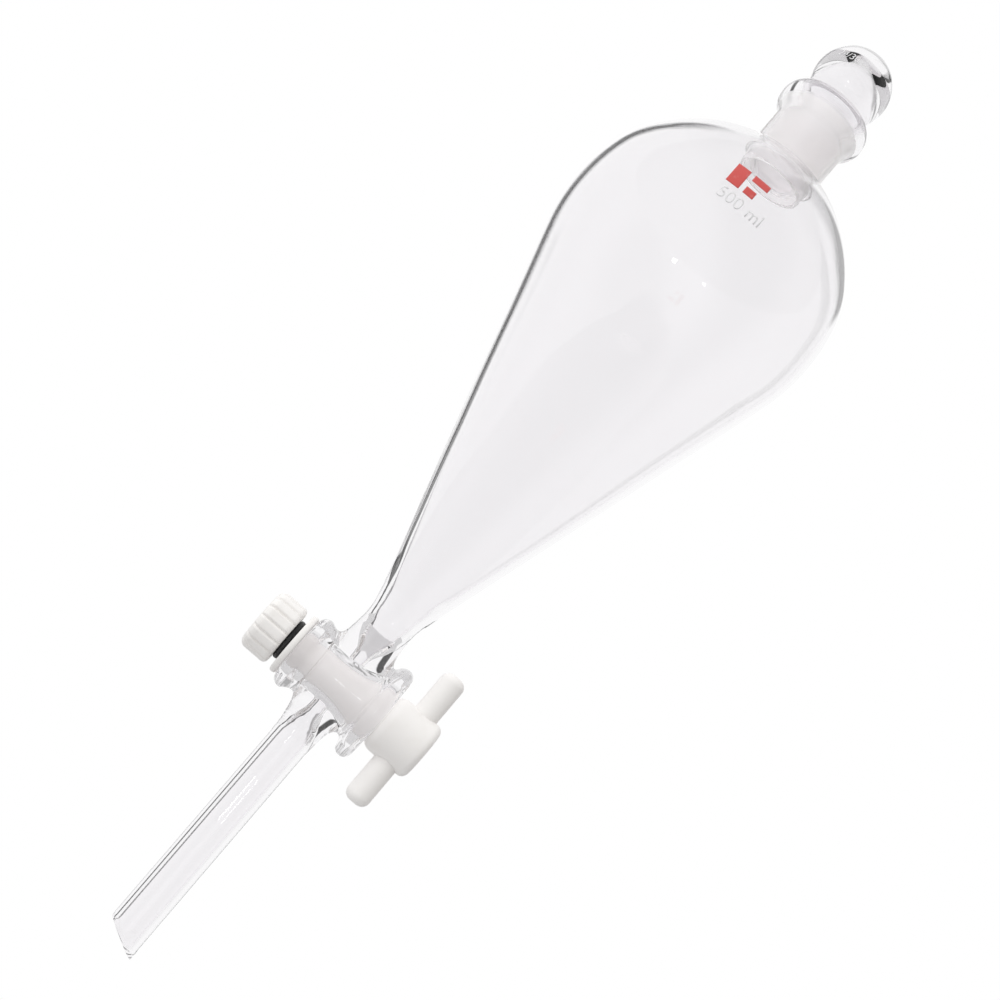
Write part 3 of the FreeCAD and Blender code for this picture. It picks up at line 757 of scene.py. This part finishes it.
def moulded_rubber(name, tint):
    """Black rubber with a faint bloom."""
    finish = Finish(name)
    bloom = finish.between(finish.noise(240.0, 4.0), 0.45, 0.75)
    grain = finish.noise(4200.0, 3.0)
    return finish.surface(
        Base_Color=finish.blend(bloom * 0.5, solid(tint), solid([c + 0.02 for c in tint])),
        Roughness=0.42 + bloom * 0.2,
        Normal=finish.bump(grain, 0.2, 0.00006),
    )


def fired_print(name, tint):
    """Enamel print fired on the glass: slightly raised, a little worn and grainy."""
    finish = Finish(name)
    grain = finish.noise(1600.0, 4.0)
    wear = finish.between(finish.noise(420.0, 5.0), 0.55, 0.8)
    worn = [min(1.0, c * 0.6 + 0.35) for c in tint]
    return finish.surface(
        Base_Color=finish.blend(wear * 0.35, solid(tint), solid(worn)),
        Roughness=0.38 + grain * 0.2,
        Normal=finish.bump(grain, 0.2, 0.00005),
    )


def pale_floor(name, tint):
    """The painted floor: even, with a faint mottle."""
    finish = Finish(name)
    mottle = finish.noise(3.0, 4.0)
    return finish.surface(
        Base_Color=finish.blend(mottle, solid(tint), dimmed(tint, 0.97)),
        Roughness=0.75 + mottle * 0.1,
        Normal=finish.bump(finish.noise(60.0, 3.0), 0.05, 0.001),
    )


def finished(name):
    """The material of that name, made once from the scene's colours."""
    made = bpy.data.materials.get(name)
    if made:
        return made
    colours = bpy.context.scene.funnel_colours
    makers = {
        "clear_glass": lambda: clear_glass(name, colours.glass),
        "ground_glass": lambda: ground_glass(name, colours.ground),
        "plug_plastic": lambda: turned_plastic(name, colours.ptfe, colours.ptfe_dust, "x"),
        "bar_plastic": lambda: turned_plastic(name, colours.ptfe, colours.ptfe_dust, "z"),
        "ring_rubber": lambda: moulded_rubber(name, colours.rubber),
        "red_print": lambda: fired_print(name, colours.red_print),
        "pale_print": lambda: fired_print(name, colours.pale_print),
        "floor_paint": lambda: pale_floor(name, colours.floor),
    }
    return makers[name]()


# ---------------------------------------------------------------- operators

def glass_sizes():
    return Millimetres(bpy.context.scene.funnel_glass)


def cock_sizes():
    return Millimetres(bpy.context.scene.funnel_stopcock)


class FUNNEL_OT_glass_body(bpy.types.Operator):
    """Blow the pear, seal on its neck and weld it to the stopcock and the drip stem"""
    bl_idname = "funnel.glass_body"
    bl_label = "Glass Body"

    segments = 320
    net_step = 0.5
    net_foot = -24.0
    stem_top = -24.25

    def execute(self, context):
        glass, cock = glass_sizes(), cock_sizes()
        slant = context.scene.funnel_glass.tip_slant
        field = StopcockGlass(glass, cock)
        before, after = -cock.half_length - 1.2, cock.half_length + 1.3
        points, faces = surface_net(field, (before, before, self.net_foot),
                                    (after, after, glass.weld), self.net_step)
        points = settle(points, field)
        loops = open_loops(points, faces)
        upper, mouth, foot = self.upper(glass)
        lower = self.lower(glass, slant)
        faces = [tuple(face) for face in faces]
        all_points = [points]
        rings = []
        for band, band_faces in (upper, lower):
            start = sum(map(len, all_points))
            all_points.append(band)
            faces += [tuple(v + start for v in face) for face in band_faces]
            count = self.segments
            rings.append([start + k for k in range(count)])
            rings.append([start + len(band) - count + k for k in range(count)])
        joined = np.concatenate(all_points)
        for loop, ring in zip(loops, rings):
            faces += zip_rings(joined, loop, ring)
        body = make_object("glass_body", placed(joined), faces,
                           [finished("clear_glass"), finished("ground_glass")])
        ground_top, ground_reach = mouth - 2.6, glass.joint_radius + 0.02
        paint_faces(body, 1, lambda c, n: foot < c.z < ground_top
                    and math.hypot(c.x, c.y) < ground_reach and n.x * c.x + n.y * c.y < 0)
        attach(body, "glass_body")
        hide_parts("neck_socket", "pear_bulb", "stopcock_barrel", "drip_stem")
        return {"FINISHED"}

    def upper(self, glass):
        """Pear and neck as one wall, open at the seal: first ring outside, last inside."""
        pear = Pear(glass)
        joint, mouth, foot, _ = joint_outline(glass, pear.collar)
        seal_gap = 0.25
        outside = pear.outside()
        outside[0] = (outside[0][0] + 0.06, glass.weld + seal_gap)
        tail = joint[-1][0]
        inside = pear.inside(tail + 1.2)
        inside[0] = (inside[0][0] + 0.08, glass.weld + seal_gap)
        crown = inside[-1][1]
        root = [(tail, crown - 2.0), (tail + 0.05, crown - 0.8), (tail + 0.4, crown - 0.1)]
        outline = outside + joint + spaced([joint[-1], root[0]], 1.5)[1:] + root[1:] + inside[::-1]
        points, faces = revolve(outline, self.segments)
        height = points[:, 2]
        inner = np.repeat(np.arange(len(outline)) >= len(outside) + len(joint), self.segments)
        even_from = np.where(inner, foot + 2, 178)
        soft = np.clip((even_from - height) / 12, 0, 1)
        weld = np.exp(-((height - 36) / 6.0) ** 2)
        fade = np.clip((height - glass.weld) / 3.0, 0, 1)
        move = ripple(points, 0.05, 40.0, 3) * soft + ripple(points, 0.09, 7.0, 4) * weld
        return (moved_out(points, move * fade), faces), mouth, foot

    def lower(self, glass, slant):
        """The drip stem with its slanted tip: first ring outside, last inside."""
        outer, inner = glass.stem_radius, glass.stem_bore
        top, tip = self.stem_top, -glass.stem_depth
        outline = spaced([(outer, top), (outer, tip)], 2.0)
        outline += [(outer - 0.12, tip), (outer - 0.35, tip), ((outer + inner) / 2, tip)]
        outline += [(inner + 0.3, tip), (inner + 0.08, tip)]
        outline += spaced([(inner, tip), (inner, top)], 2.0)
        points, faces = revolve(outline, self.segments)
        share = (points[:, 2] - top) / (tip - top)
        end = tip + (outer - points[:, 0]) * math.tan(slant)
        off_middle = np.hypot(points[:, 0], points[:, 1]) - (outer + inner) / 2
        rounding = 0.12 * (np.abs(off_middle) / ((outer - inner) / 2)) ** 4
        points[:, 2] = top + share * (end - top) + np.where(share > 0.9999, rounding, 0)
        fade = np.clip(-(points[:, 2] - top) / 6.0, 0, 1) * (share < 0.98)
        return moved_out(points, ripple(points, 0.008, 40.0, 6) * fade), faces


class FUNNEL_OT_stopper(bpy.types.Operator):
    """Make the hollow stopper with its ground cone and round head"""
    bl_idname = "funnel.stopper"
    bl_label = "Stopper"

    segments = 160

    def execute(self, context):
        glass, sizes = glass_sizes(), Millimetres(context.scene.funnel_stopper)
        pear = Pear(glass)
        _, mouth, foot, top = joint_outline(glass, pear.collar)
        inset, rounding = 1.5, 1.7
        large = glass.joint_radius - WORKING_GAP
        low = foot + inset
        small = large - (mouth - low) * JOINT_SLOPE
        head, centre = sizes.head_radius, sizes.head_height
        start = math.degrees(math.asin(-math.sqrt(head ** 2 - sizes.neck_radius ** 2) / head))
        ball = arc((0, centre), head, start, 90, 44)
        outside = spaced([(AXIS_POINT, low), (small - rounding, low)], 1.6)
        outside += arc((small - rounding, low + rounding), rounding, -90, 0, 8)[1:]
        outside += spaced([(small, low + rounding), (large, mouth)], 1.2)[1:]
        neck, neck_top = sizes.neck_radius, ball[0][1]
        outside += spaced([(large, mouth), (neck - 0.08, neck_top - 1.0)], 1.0)[1:]
        outside += [(neck + 0.03, neck_top - 0.1)] + ball[1:-1] + [(AXIS_POINT, centre + head)]
        wall = sizes.wall
        hollow = head - wall
        hollow_up = centre + head - sizes.top_wall - hollow
        dome = arc((0, hollow_up), hollow, 90, -28, 30)
        inside = [(AXIS_POINT, dome[0][1])] + dome[1:]
        inside += [(large - wall + 0.25, mouth + 3.0), (large - wall, mouth)]
        inside += spaced([(large - wall, mouth), (small - wall, low + 2 * wall)], 1.5)[1:]
        inside += arc((small - 2 * wall, low + 2 * wall), wall, 0, -90, 6)[1:]
        inside += [(AXIS_POINT, low + wall)]
        shell, faces = revolve(outside, self.segments)
        cavity, cavity_faces = revolve(inside, self.segments)
        faces += [tuple(v + len(shell) for v in face) for face in cavity_faces]
        points = np.concatenate([shell, cavity])
        over_rim = np.clip((points[:, 2] - top) / 4, 0, 1)
        off_axis = np.clip(np.hypot(points[:, 0], points[:, 1]) / 4, 0, 1)
        points = moved_out(points, ripple(points, 0.015, 11.0, 12) * over_rim * off_axis)
        stopper = self.two_shells("stopper_glass", placed(points), faces)
        ground_low, ground_top, ground_reach = low + rounding, mouth - 2.2, small - 0.1
        paint_faces(stopper, 1, lambda c, n: ground_low < c.z < ground_top
                    and math.hypot(c.x, c.y) > ground_reach and n.x * c.x + n.y * c.y > 0)
        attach(stopper, "stopper")
        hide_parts("stopper")
        return {"FINISHED"}

    def two_shells(self, name, points, faces):
        """One mesh of an outside and a hollow, whose faces look into the hollow."""
        item = make_object(name, points, faces, [finished("clear_glass"), finished("ground_glass")])
        build = bmesh.new()
        build.from_mesh(item.data)
        bmesh.ops.dissolve_degenerate(build, dist=1e-6, edges=build.edges)
        bmesh.ops.remove_doubles(build, verts=build.verts, dist=4e-6)
        bmesh.ops.recalc_face_normals(build, faces=build.faces)
        build.verts.ensure_lookup_table()
        lowest = min(build.verts, key=lambda v: v.co.z)
        seen, queue = set(), [lowest]
        while queue:
            vert = queue.pop()
            if vert in seen:
                continue
            seen.add(vert)
            queue += [edge.other_vert(vert) for edge in vert.link_edges]
        hollow = [face for face in build.faces if face.verts[0] not in seen]
        corners = [vert.co for face in hollow for vert in face.verts]
        middle = sum(corners, Vector()) / len(corners)
        sample = max(hollow, key=lambda f: f.calc_center_median().z)
        if sample.normal.dot(sample.calc_center_median() - middle) > 0:
            bmesh.ops.reverse_faces(build, faces=hollow)
        build.to_mesh(item.data)
        build.free()
        item.data.polygons.foreach_set("use_smooth", [True] * len(item.data.polygons))
        return item


def cut_with_rod(item, radius, along, reach=20, segments=64):
    """Bores an upright round hole through a piece, at that place along the stopcock."""
    points, faces = revolve([(radius, -reach), (radius, reach)], segments)
    points, faces = capped(points, faces, segments)
    points = points + np.array([along, 0, 0])
    rod = make_object("rod", placed(points), faces, [])
    cut = item.modifiers.new("bore", "BOOLEAN")
    cut.object, cut.operation, cut.solver = rod, "DIFFERENCE", "EXACT"
    apply_modifiers(item)
    bpy.data.objects.remove(rod)


def apply_modifiers(item):
    """Replaces a piece's mesh by what its modifiers make of it."""
    bpy.context.view_layer.update()
    depsgraph = bpy.context.evaluated_depsgraph_get()
    mesh = bpy.data.meshes.new_from_object(item.evaluated_get(depsgraph))
    item.modifiers.clear()
    old, item.data = item.data, mesh
    bpy.data.meshes.remove(old)


class FUNNEL_OT_plug(bpy.types.Operator):
    """Turn the plastic plug with its head, cross bore and threaded shank"""
    bl_idname = "funnel.plug"
    bl_label = "Plug"

    segments = 128

    def execute(self, context):
        cock = cock_sizes()
        key, half = cock.key_radius, cock.half_length

        def bore(x):
            return key - (half - x) * BORE_SLOPE - WORKING_GAP

        head, edge = cock.head_radius, 2.5
        ring_width = 0.42
        outline = [(3.6, -15.6), (bore(-15.6) - 0.5, -15.6), (bore(-15.2), -15.1)]
        for place in (-9.4, 12.1):
            start = place - ring_width
            outline += spaced([outline[-1], (bore(start), start)], 1.5)[1:]
            for across, deep in ((-0.25, 0.28), (0.0, 0.34), (0.25, 0.28), (ring_width, 0.0)):
                outline.append((bore(place + across) - deep, place + across))
        outline += [(bore(14.9), 14.9), (bore(16.2), 16.2), (8.5, 16.5), (8.5, 17.5), (8.62, 17.62)]
        outline += [(9.0, 18.0), (9.4, 18.7), (9.68, 19.5), (head, 20.4)]
        outline += spaced([(head, 20.4), (head, 31.5)], 1.2)[1:]
        outline += [(head - edge + edge * math.cos(t), 34.0 - edge + edge * math.sin(t))
                    for t in np.linspace(0, math.pi / 2, 10)[1:]]
        outline += [(head - 3.4, 34.0), (4.0, 33.93), (1.2, 33.9)]
        points, faces = revolve(outline, self.segments)
        points, faces = capped(points, faces, self.segments)
        plug = make_object("stopcock_plug_turned", placed(points, along_x=True), faces,
                           [finished("plug_plastic")])
        cut_with_rod(plug, cock.way_radius, 0)
        cut_with_rod(plug, cock.bar_radius + 0.05, BAR_PLACE)
        plug.data.polygons.foreach_set("use_smooth", [True] * len(plug.data.polygons))
        plug.data.set_sharp_from_angle(angle=math.radians(38))
        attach(plug, "plug")
        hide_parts("stopcock_plug")
        self.thread(cock)
        return {"FINISHED"}

    def thread(self, cock):
        """The shank's rounded thread, run out at both ends."""
        columns, rows = 72, 190
        start, end, crest, depth = -14.8, -30.6, cock.shank_radius, 0.45
        points = []
        for row in range(rows + 1):
            x = start + (end - start) * row / rows
            fade = min(1.0, max(0.0, (-x - 15.4) / 1.2), max(0.0, (x - end) / 0.9))
            chamfer = max(0.0, (end + 0.8 - x) * 0.8)
            for column in range(columns):
                turn = column / columns * TURN
                wave = 0.5 + 0.5 * math.sin(TURN * x / cock.pitch + turn)
                radius = crest - depth * (1 - wave ** THREAD_ROUNDING) * fade - chamfer
                points.append((x, radius * math.cos(turn), radius * math.sin(turn)))
        points, faces = capped(points, ring_faces(rows + 1, columns), columns)
        item = make_object("shank_thread", placed(points), faces, [finished("plug_plastic")], 50)
        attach(item, "plug")


class FUNNEL_OT_handle(bpy.types.Operator):
    """Turn the round-ended handle bar"""
    bl_idname = "funnel.handle"
    bl_label = "Handle Bar"

    def execute(self, context):
        cock = cock_sizes()
        half = (BAR_HIGH.z - BAR_LOW.z) / 2 / MM
        rounding, radius = 2.9, cock.bar_radius
        flat, straight = radius - rounding, half - rounding
        upper = [(AXIS_POINT, half)]
        upper += [(flat + rounding * math.sin(t), straight + rounding * math.cos(t))
                  for t in np.linspace(0.0, math.pi / 2, 14)]
        outline = upper + spaced([upper[-1], (radius, 0.0)], 1.5)[1:]
        lower = [(r, -z) for r, z in reversed(outline[:-1])]
        points, faces = revolve(outline + lower, 96)
        points = points + np.array([BAR_PLACE, 0, 0])
        bar = make_object("handle_bar_turned", placed(points), faces, [finished("bar_plastic")], 60)
        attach(bar, "plug")
        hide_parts("handle_bar")
        return {"FINISHED"}


class FUNNEL_OT_seal(bpy.types.Operator):
    """Make the thrust washer and the squeezed O-ring"""
    bl_idname = "funnel.seal"
    bl_label = "Washer and O-Ring"

    segments = 128
    section_points = 28

    def execute(self, context):
        cock = cock_sizes()
        hole, rim = cock.shank_radius + 0.1, cock.washer_radius
        near, far = -17.1, -19.2
        edge = [(hole, 0.25), (hole + 0.25, 0.0), (rim - 0.7, 0.0)]
        edge += [(rim - 0.25, 0.12), (rim - 0.05, 0.4), (rim, 0.8)]
        washer = [(radius, near - depth) for radius, depth in edge]
        washer += [(radius, far + depth) for radius, depth in reversed(edge)]
        points, faces = revolve(washer, self.segments, closed=True)
        item = make_object("thrust_washer_turned", placed(points, along_x=True), faces,
                           [finished("plug_plastic")], 50)
        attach(item, "plug")
        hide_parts("thrust_washer")
        middle, width, height = -20.2, 0.98, (cock.ring_radius - hole) / 2
        section = []
        for k in range(self.section_points):
            turn = k / self.section_points * TURN
            flat = math.copysign(abs(math.cos(turn)) ** 0.72, math.cos(turn))
            tall = math.copysign(abs(math.sin(turn)) ** 0.9, math.sin(turn))
            section.append((hole + height + height * tall, middle + width * flat))
        points, faces = revolve(section, self.segments, closed=True)
        ring = make_object("o_ring_moulded", placed(points, along_x=True), faces,
                           [finished("ring_rubber")])
        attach(ring, "seal")
        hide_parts("o_ring")
        return {"FINISHED"}


class FUNNEL_OT_nut(bpy.types.Operator):
    """Mould the fluted nut with its threaded bore"""
    bl_idname = "funnel.nut"
    bl_label = "Nut"

    columns_per_flute = 24
    thread_rows = 90
    groove_width, groove_depth, thread_depth = 0.42, 0.75, 0.42

    def execute(self, context):
        cock = cock_sizes()
        flutes = context.scene.funnel_stopcock.flutes
        radius, near, far = cock.nut_radius, -21.2, -31.6
        small, large, mouth, root = 1.6, 2.4, 5.55, 5.1
        outline = [(mouth, near), (radius - 1.7, near)]
        outline += [(radius - small + small * math.sin(t), near - small + small * math.cos(t))
                    for t in np.linspace(0.1, math.pi / 2, 8)]
        outline += spaced([(radius, near - small), (radius, far + large)], 0.8)[1:]
        outline += [(radius - large + large * math.cos(t), far + large - large * math.sin(t))
                    for t in np.linspace(0.0, math.pi / 2, 12)[1:]]
        outline += [(6.9, far), (6.6, far + 0.05), (6.0, far + 0.35), (mouth, far + 0.8)]
        outer = len(outline)
        for place in np.linspace(far + 0.9, near - 0.5, self.thread_rows):
            outline.append((root, place))
        columns = flutes * self.columns_per_flute
        points, faces = revolve(outline, columns, closed=True)
        points = points.reshape(len(outline), columns, 3)
        turns = np.arange(columns) / columns * TURN
        across = np.abs((turns * flutes / TURN + 0.5) % 1.0 - 0.5) * TURN * radius / flutes
        groove = np.exp(-(across / self.groove_width) ** 2)
        for row, (r, x) in enumerate(outline):
            if row < outer:
                reach = min(1.0, max(0.0, (r - (radius - 2.3)) / 1.6))
                depth = reach * self.groove_depth * groove
                scale = (r - depth) / max(r, 1e-6)
            else:
                wave = 0.5 + 0.5 * np.sin(TURN * x / cock.pitch + turns)
                edge = min(1.0, (row - outer) / 8, (len(outline) - 1 - row) / 8)
                scale = (r + self.thread_depth * (wave ** THREAD_ROUNDING) * edge) / r
            points[row, :, 0] *= scale
            points[row, :, 1] *= scale
        points = placed(points.reshape(-1, 3), along_x=True)
        nut = make_object("retaining_nut_moulded", points, faces, [finished("plug_plastic")], 45)
        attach(nut, "nut")
        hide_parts("retaining_nut")
        return {"FINISHED"}


def lettering(text, height):
    """Flat letters as points and faces in millimetres, centred, with capitals that high."""
    capital_share = 0.7
    curve = bpy.data.curves.new("letters", "FONT")
    curve.body = text
    curve.align_x, curve.align_y = "CENTER", "CENTER"
    curve.size = height / capital_share
    curve.resolution_u = 6
    item = bpy.data.objects.new("letters", curve)
    bpy.context.scene.collection.objects.link(item)
    bpy.context.view_layer.update()
    mesh = bpy.data.meshes.new_from_object(item)
    build = bmesh.new()
    build.from_mesh(mesh)
    bmesh.ops.triangulate(build, faces=build.faces)
    bmesh.ops.remove_doubles(build, verts=build.verts, dist=1e-4)
    points = [tuple(v.co) for v in build.verts]
    faces = [tuple(v.index for v in face.verts) for face in build.faces]
    build.free()
    bpy.data.objects.remove(item)
    bpy.data.curves.remove(curve)
    bpy.data.meshes.remove(mesh)
    return points, faces


def thin_print(name, body, points, faces, material, thickness=0.05):
    """A fired print of that thickness on points that already lie on the glass."""
    inside_bulb = Vector((0, 0, AXIS_HEIGHT + 0.15))
    item = make_object(name, placed(points), faces, [material])
    build = bmesh.new()
    build.from_mesh(item.data)
    bmesh.ops.recalc_face_normals(build, faces=build.faces)
    face = max(build.faces, key=lambda f: f.calc_area())
    if face.normal.dot(face.calc_center_median() - inside_bulb) < 0:
        bmesh.ops.reverse_faces(build, faces=build.faces)
    build.to_mesh(item.data)
    build.free()
    shell = item.modifiers.new("print", "SOLIDIFY")
    shell.thickness, shell.offset = thickness * MM, 1.0
    apply_modifiers(item)
    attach(item, body)


class FUNNEL_OT_prints(bpy.types.Operator):
    """Print the capacity and a plain red mark on the bulb, and the joint size on the stopper"""
    bl_idname = "funnel.prints"
    bl_label = "Prints"

    # Millimetres round the glass from its front, and heights over the stopcock.
    capacity_height, capacity_place = 4.3, (-1.9, 183.0)
    mark_place = (-4.4, 191.2)
    joint_size_height, joint_size_turn, joint_size_rise = 2.6, -7.6, math.radians(12)
    lift, head_lift = 0.02, 0.08
    mark_blocks = ((-6.2, -1.4, -4.2, 4.2), (0.2, 6.2, 1.4, 4.2), (0.2, 4.0, -4.2, -1.4))
    mark_step = 0.5

    def execute(self, context):
        pale, red = finished("pale_print"), finished("red_print")
        points, faces = lettering("500 ml", self.capacity_height)
        points = self.on_bulb(points, *self.capacity_place)
        thin_print("capacity_print", "glass_body", points, faces, pale)
        points, faces = self.plain_mark()
        points = self.on_bulb(points, *self.mark_place)
        thin_print("red_mark_print", "glass_body", points, faces, red)
        points, faces = lettering("24/30", self.joint_size_height)
        points = self.on_head(points, Millimetres(context.scene.funnel_stopper))
        thin_print("joint_size_print", "stopper", points, faces, pale)
        return {"FINISHED"}

    def on_bulb(self, points, across, height):
        """Flat points laid on the pear's outside."""
        outline = Pear(glass_sizes()).outside()
        steps = [math.dist(a, b) for a, b in zip(outline, outline[1:])]
        run = np.concatenate([[0], np.cumsum(steps)])
        radii, heights = np.array(outline).T
        start = np.interp(height, heights, run)
        result = []
        for u, v, *_ in points:
            radius = np.interp(start + v, run, radii)
            turn, reach = (across + u) / radius, radius + self.lift
            result.append((reach * math.sin(turn), -reach * math.cos(turn),
                           np.interp(start + v, run, heights) + self.lift))
        return result

    def on_head(self, points, stopper):
        """Flat points laid on the stopper's round head."""
        radius = stopper.head_radius + self.head_lift
        result = []
        for u, v, *_ in points:
            turn, rise = (u + self.joint_size_turn) / radius, self.joint_size_rise + v / radius
            level = radius * math.cos(rise)
            result.append((level * math.sin(turn), -level * math.cos(turn),
                           stopper.head_height + radius * math.sin(rise)))
        return result

    def plain_mark(self):
        """A square and two bars, in fine strips that can bend round the bulb."""
        points, faces = [], []
        for left, right, low, high in self.mark_blocks:
            columns = max(2, round((right - left) / self.mark_step))
            rows = max(2, round((high - low) / self.mark_step))
            first = len(points)
            for row in range(rows + 1):
                for column in range(columns + 1):
                    points.append((left + (right - left) * column / columns,
                                   low + (high - low) * row / rows))
            for row in range(rows):
                for column in range(columns):
                    here = first + row * (columns + 1) + column
                    faces.append((here, here + 1, here + columns + 2, here + columns + 1))
        return points, faces


class FUNNEL_OT_stage(bpy.types.Operator):
    """Set the floor, the studio light and the camera"""
    bl_idname = "funnel.stage"
    bl_label = "Stage"

    camera_distance = 0.660
    camera_drop = 0.04963
    camera_aside = 0.0009
    camera_pitch = 10.772
    camera_roll = 40.64
    focal_share = 2.14555
    floor_drop = 1020.0

    def execute(self, context):
        self.camera(context)
        self.floor()
        self.world(context)
        self.lamps()
        context.scene.view_settings.view_transform = "Standard"
        return {"FINISHED"}

    def camera(self, context):
        data = bpy.data.cameras.new("camera")
        data.sensor_width = 36.0
        data.lens = data.sensor_width * self.focal_share
        data.clip_start, data.clip_end = 0.01, 50.0
        item = bpy.data.objects.new("camera", data)
        pitch, roll = math.radians(self.camera_pitch), math.radians(self.camera_roll)
        look = Vector((0, math.cos(pitch), math.sin(pitch)))
        level, rise = Vector((1, 0, 0)), Vector((0, -math.sin(pitch), math.cos(pitch)))
        right = level * math.cos(roll) + rise * math.sin(roll)
        up = rise * math.cos(roll) - level * math.sin(roll)
        turn = Matrix((right, up, -look)).transposed()
        spot = Vector((self.camera_aside, -self.camera_distance, AXIS_HEIGHT - self.camera_drop))
        item.matrix_world = Matrix.Translation(spot) @ turn.to_4x4()
        context.scene.collection.objects.link(item)
        context.scene.camera = item

    def floor(self):
        """A round floor that faces up, under the stand that would hold the funnel."""
        segments = 96
        rings = [(radius, -self.floor_drop) for radius in np.linspace(40, 4500, 24)]
        points, faces = revolve(rings, segments)
        points, faces = capped(points, faces, segments, ends=("start",))
        item = make_object("floor", placed(points), faces, [finished("floor_paint")])
        for face in item.data.polygons:
            if face.normal.z < 0:
                item.data.flip_normals()
                break

    def world(self, context):
        """White round the glass with a dark flag at the left, and a graded sky for the plastic."""
        world = context.scene.world or bpy.data.worlds.new("studio")
        context.scene.world = world
        sky = Finish("studio", world)
        way = sky.node("ShaderNodeTexCoord", output="Generated").socket
        split = sky.node("ShaderNodeSeparateXYZ", None, {0: way})
        x = Number(sky, split.socket.node.outputs[0])
        y = Number(sky, split.socket.node.outputs[1])
        z = Number(sky, split.socket.node.outputs[2])
        azimuth = sky.node("ShaderNodeMath", {"operation": "ARCTAN2"}, {0: x, 1: y})

        def sector(*degrees):
            return sky.band(azimuth, *map(math.radians, degrees))

        flag = sector(-40, -37, -25, -22) * sky.band(z, -0.5, -0.3, 0.7, 0.85)
        high_flag = sector(12, 18, 34, 42) * sky.between(z, 0.40, 0.46)
        right = sector(38, 75, 95, 125)
        low = sky.between(z, -0.35, -0.75)
        high = sky.between(z, 0.72, 0.9)
        behind = sky.between(y, -0.1, -0.7) * sky.between(x + z, -0.1, 0.6)
        rays = sky.node("ShaderNodeLightPath")
        ports = rays.socket.node.outputs
        camera_ray = Number(sky, ports["Is Camera Ray"])
        reflected = Number(sky, ports["Glossy Depth"]).above(0.5)
        mirrored = Number(sky, ports["Is Glossy Ray"]) + Number(sky, ports["Is Transmission Ray"])
        glass_sky = 1 - flag * 0.95
        for place, depth in ((high_flag, 0.6), (high, 0.15), (right, 0.1), (low, 0.15),
                             (behind * reflected, 0.6)):
            glass_sky = glass_sky * (1 - place * depth)
        scattered = Number(sky, ports["Diffuse Depth"]).above(0.5)
        seen = sky.between(mirrored, 0.1, 0.6) * (1 - scattered)
        towards_light = z * 0.76 - x * 0.65
        lit = sky.between(towards_light, -0.75, 0.5)
        least, gain = 0.14, 0.93
        graded = least + lit * gain
        warm, white = (1.0, 0.93, 0.88), (1.0, 1.0, 1.0)
        shade = sky.blend(lit + camera_ray + seen, solid(warm), solid(white))
        strength = glass_sky * seen + graded * (1 - seen)
        strength = strength * (1 - camera_ray) + camera_ray
        background = sky.node("ShaderNodeBackground", None, {"Color": shade, "Strength": strength})
        end = sky.tree.nodes.new("ShaderNodeOutputWorld")
        sky.tree.links.new(background.socket, end.inputs["Surface"])

    def lamps(self):
        """A large window that lights the plastic, and a small one that the glass reflects."""
        middle = Vector((0, 0, AXIS_HEIGHT + 0.12))
        for name, spot, size, power, shine in (
            ("key_window", (-0.75, -0.95, 0.85), (0.5, 0.5), 4.0, False),
            ("small_window", (-0.30, -1.15, -0.16), (0.07, 0.05), 0.12, True),
        ):
            data = bpy.data.lights.new(name, "AREA")
            data.shape, data.size, data.size_y = "RECTANGLE", size[0], size[1]
            data.energy = power
            item = bpy.data.objects.new(name, data)
            item.location = middle + Vector(spot)
            item.rotation_euler = (middle - item.location).to_track_quat("-Z", "Y").to_euler()
            item.visible_glossy = item.visible_transmission = shine
            bpy.context.scene.collection.objects.link(item)


class FUNNEL_PT_panel(bpy.types.Panel):
    """Lists the funnel's pieces"""
    bl_label = "Separatory Funnel"
    bl_idname = "FUNNEL_PT_panel"
    bl_space_type = "VIEW_3D"
    bl_region_type = "UI"
    bl_category = "Funnel"

    def draw(self, context):
        for operator in OPERATORS:
            self.layout.operator(operator.bl_idname)
        for group in (context.scene.funnel_glass, context.scene.funnel_stopper,
                      context.scene.funnel_stopcock, context.scene.funnel_colours):
            box = self.layout.box()
            for name in group.bl_rna.properties.keys():
                if name not in ("rna_type", "name"):
                    box.prop(group, name)


GROUPS = {
    "funnel_glass": GlassSizes,
    "funnel_stopper": StopperSizes,
    "funnel_stopcock": StopcockSizes,
    "funnel_colours": FinishColours,
}
OPERATORS = (
    FUNNEL_OT_glass_body,
    FUNNEL_OT_stopper,
    FUNNEL_OT_plug,
    FUNNEL_OT_handle,
    FUNNEL_OT_seal,
    FUNNEL_OT_nut,
    FUNNEL_OT_prints,
    FUNNEL_OT_stage,
)


def register():
    for name, group in GROUPS.items():
        bpy.utils.register_class(group)
        setattr(bpy.types.Scene, name, bpy.props.PointerProperty(type=group))
    for operator in OPERATORS:
        bpy.utils.register_class(operator)
    bpy.utils.register_class(FUNNEL_PT_panel)


def unregister():
    bpy.utils.unregister_class(FUNNEL_PT_panel)
    for operator in reversed(OPERATORS):
        bpy.utils.unregister_class(operator)
    for name, group in reversed(GROUPS.items()):
        delattr(bpy.types.Scene, name)
        bpy.utils.unregister_class(group)


def main():
    register()
    bpy.ops.funnel.glass_body()
    bpy.ops.funnel.stopper()
    bpy.ops.funnel.plug()
    bpy.ops.funnel.handle()
    bpy.ops.funnel.seal()
    bpy.ops.funnel.nut()
    bpy.ops.funnel.prints()
    bpy.ops.funnel.stage()


if __name__ == "__main__":
    main()
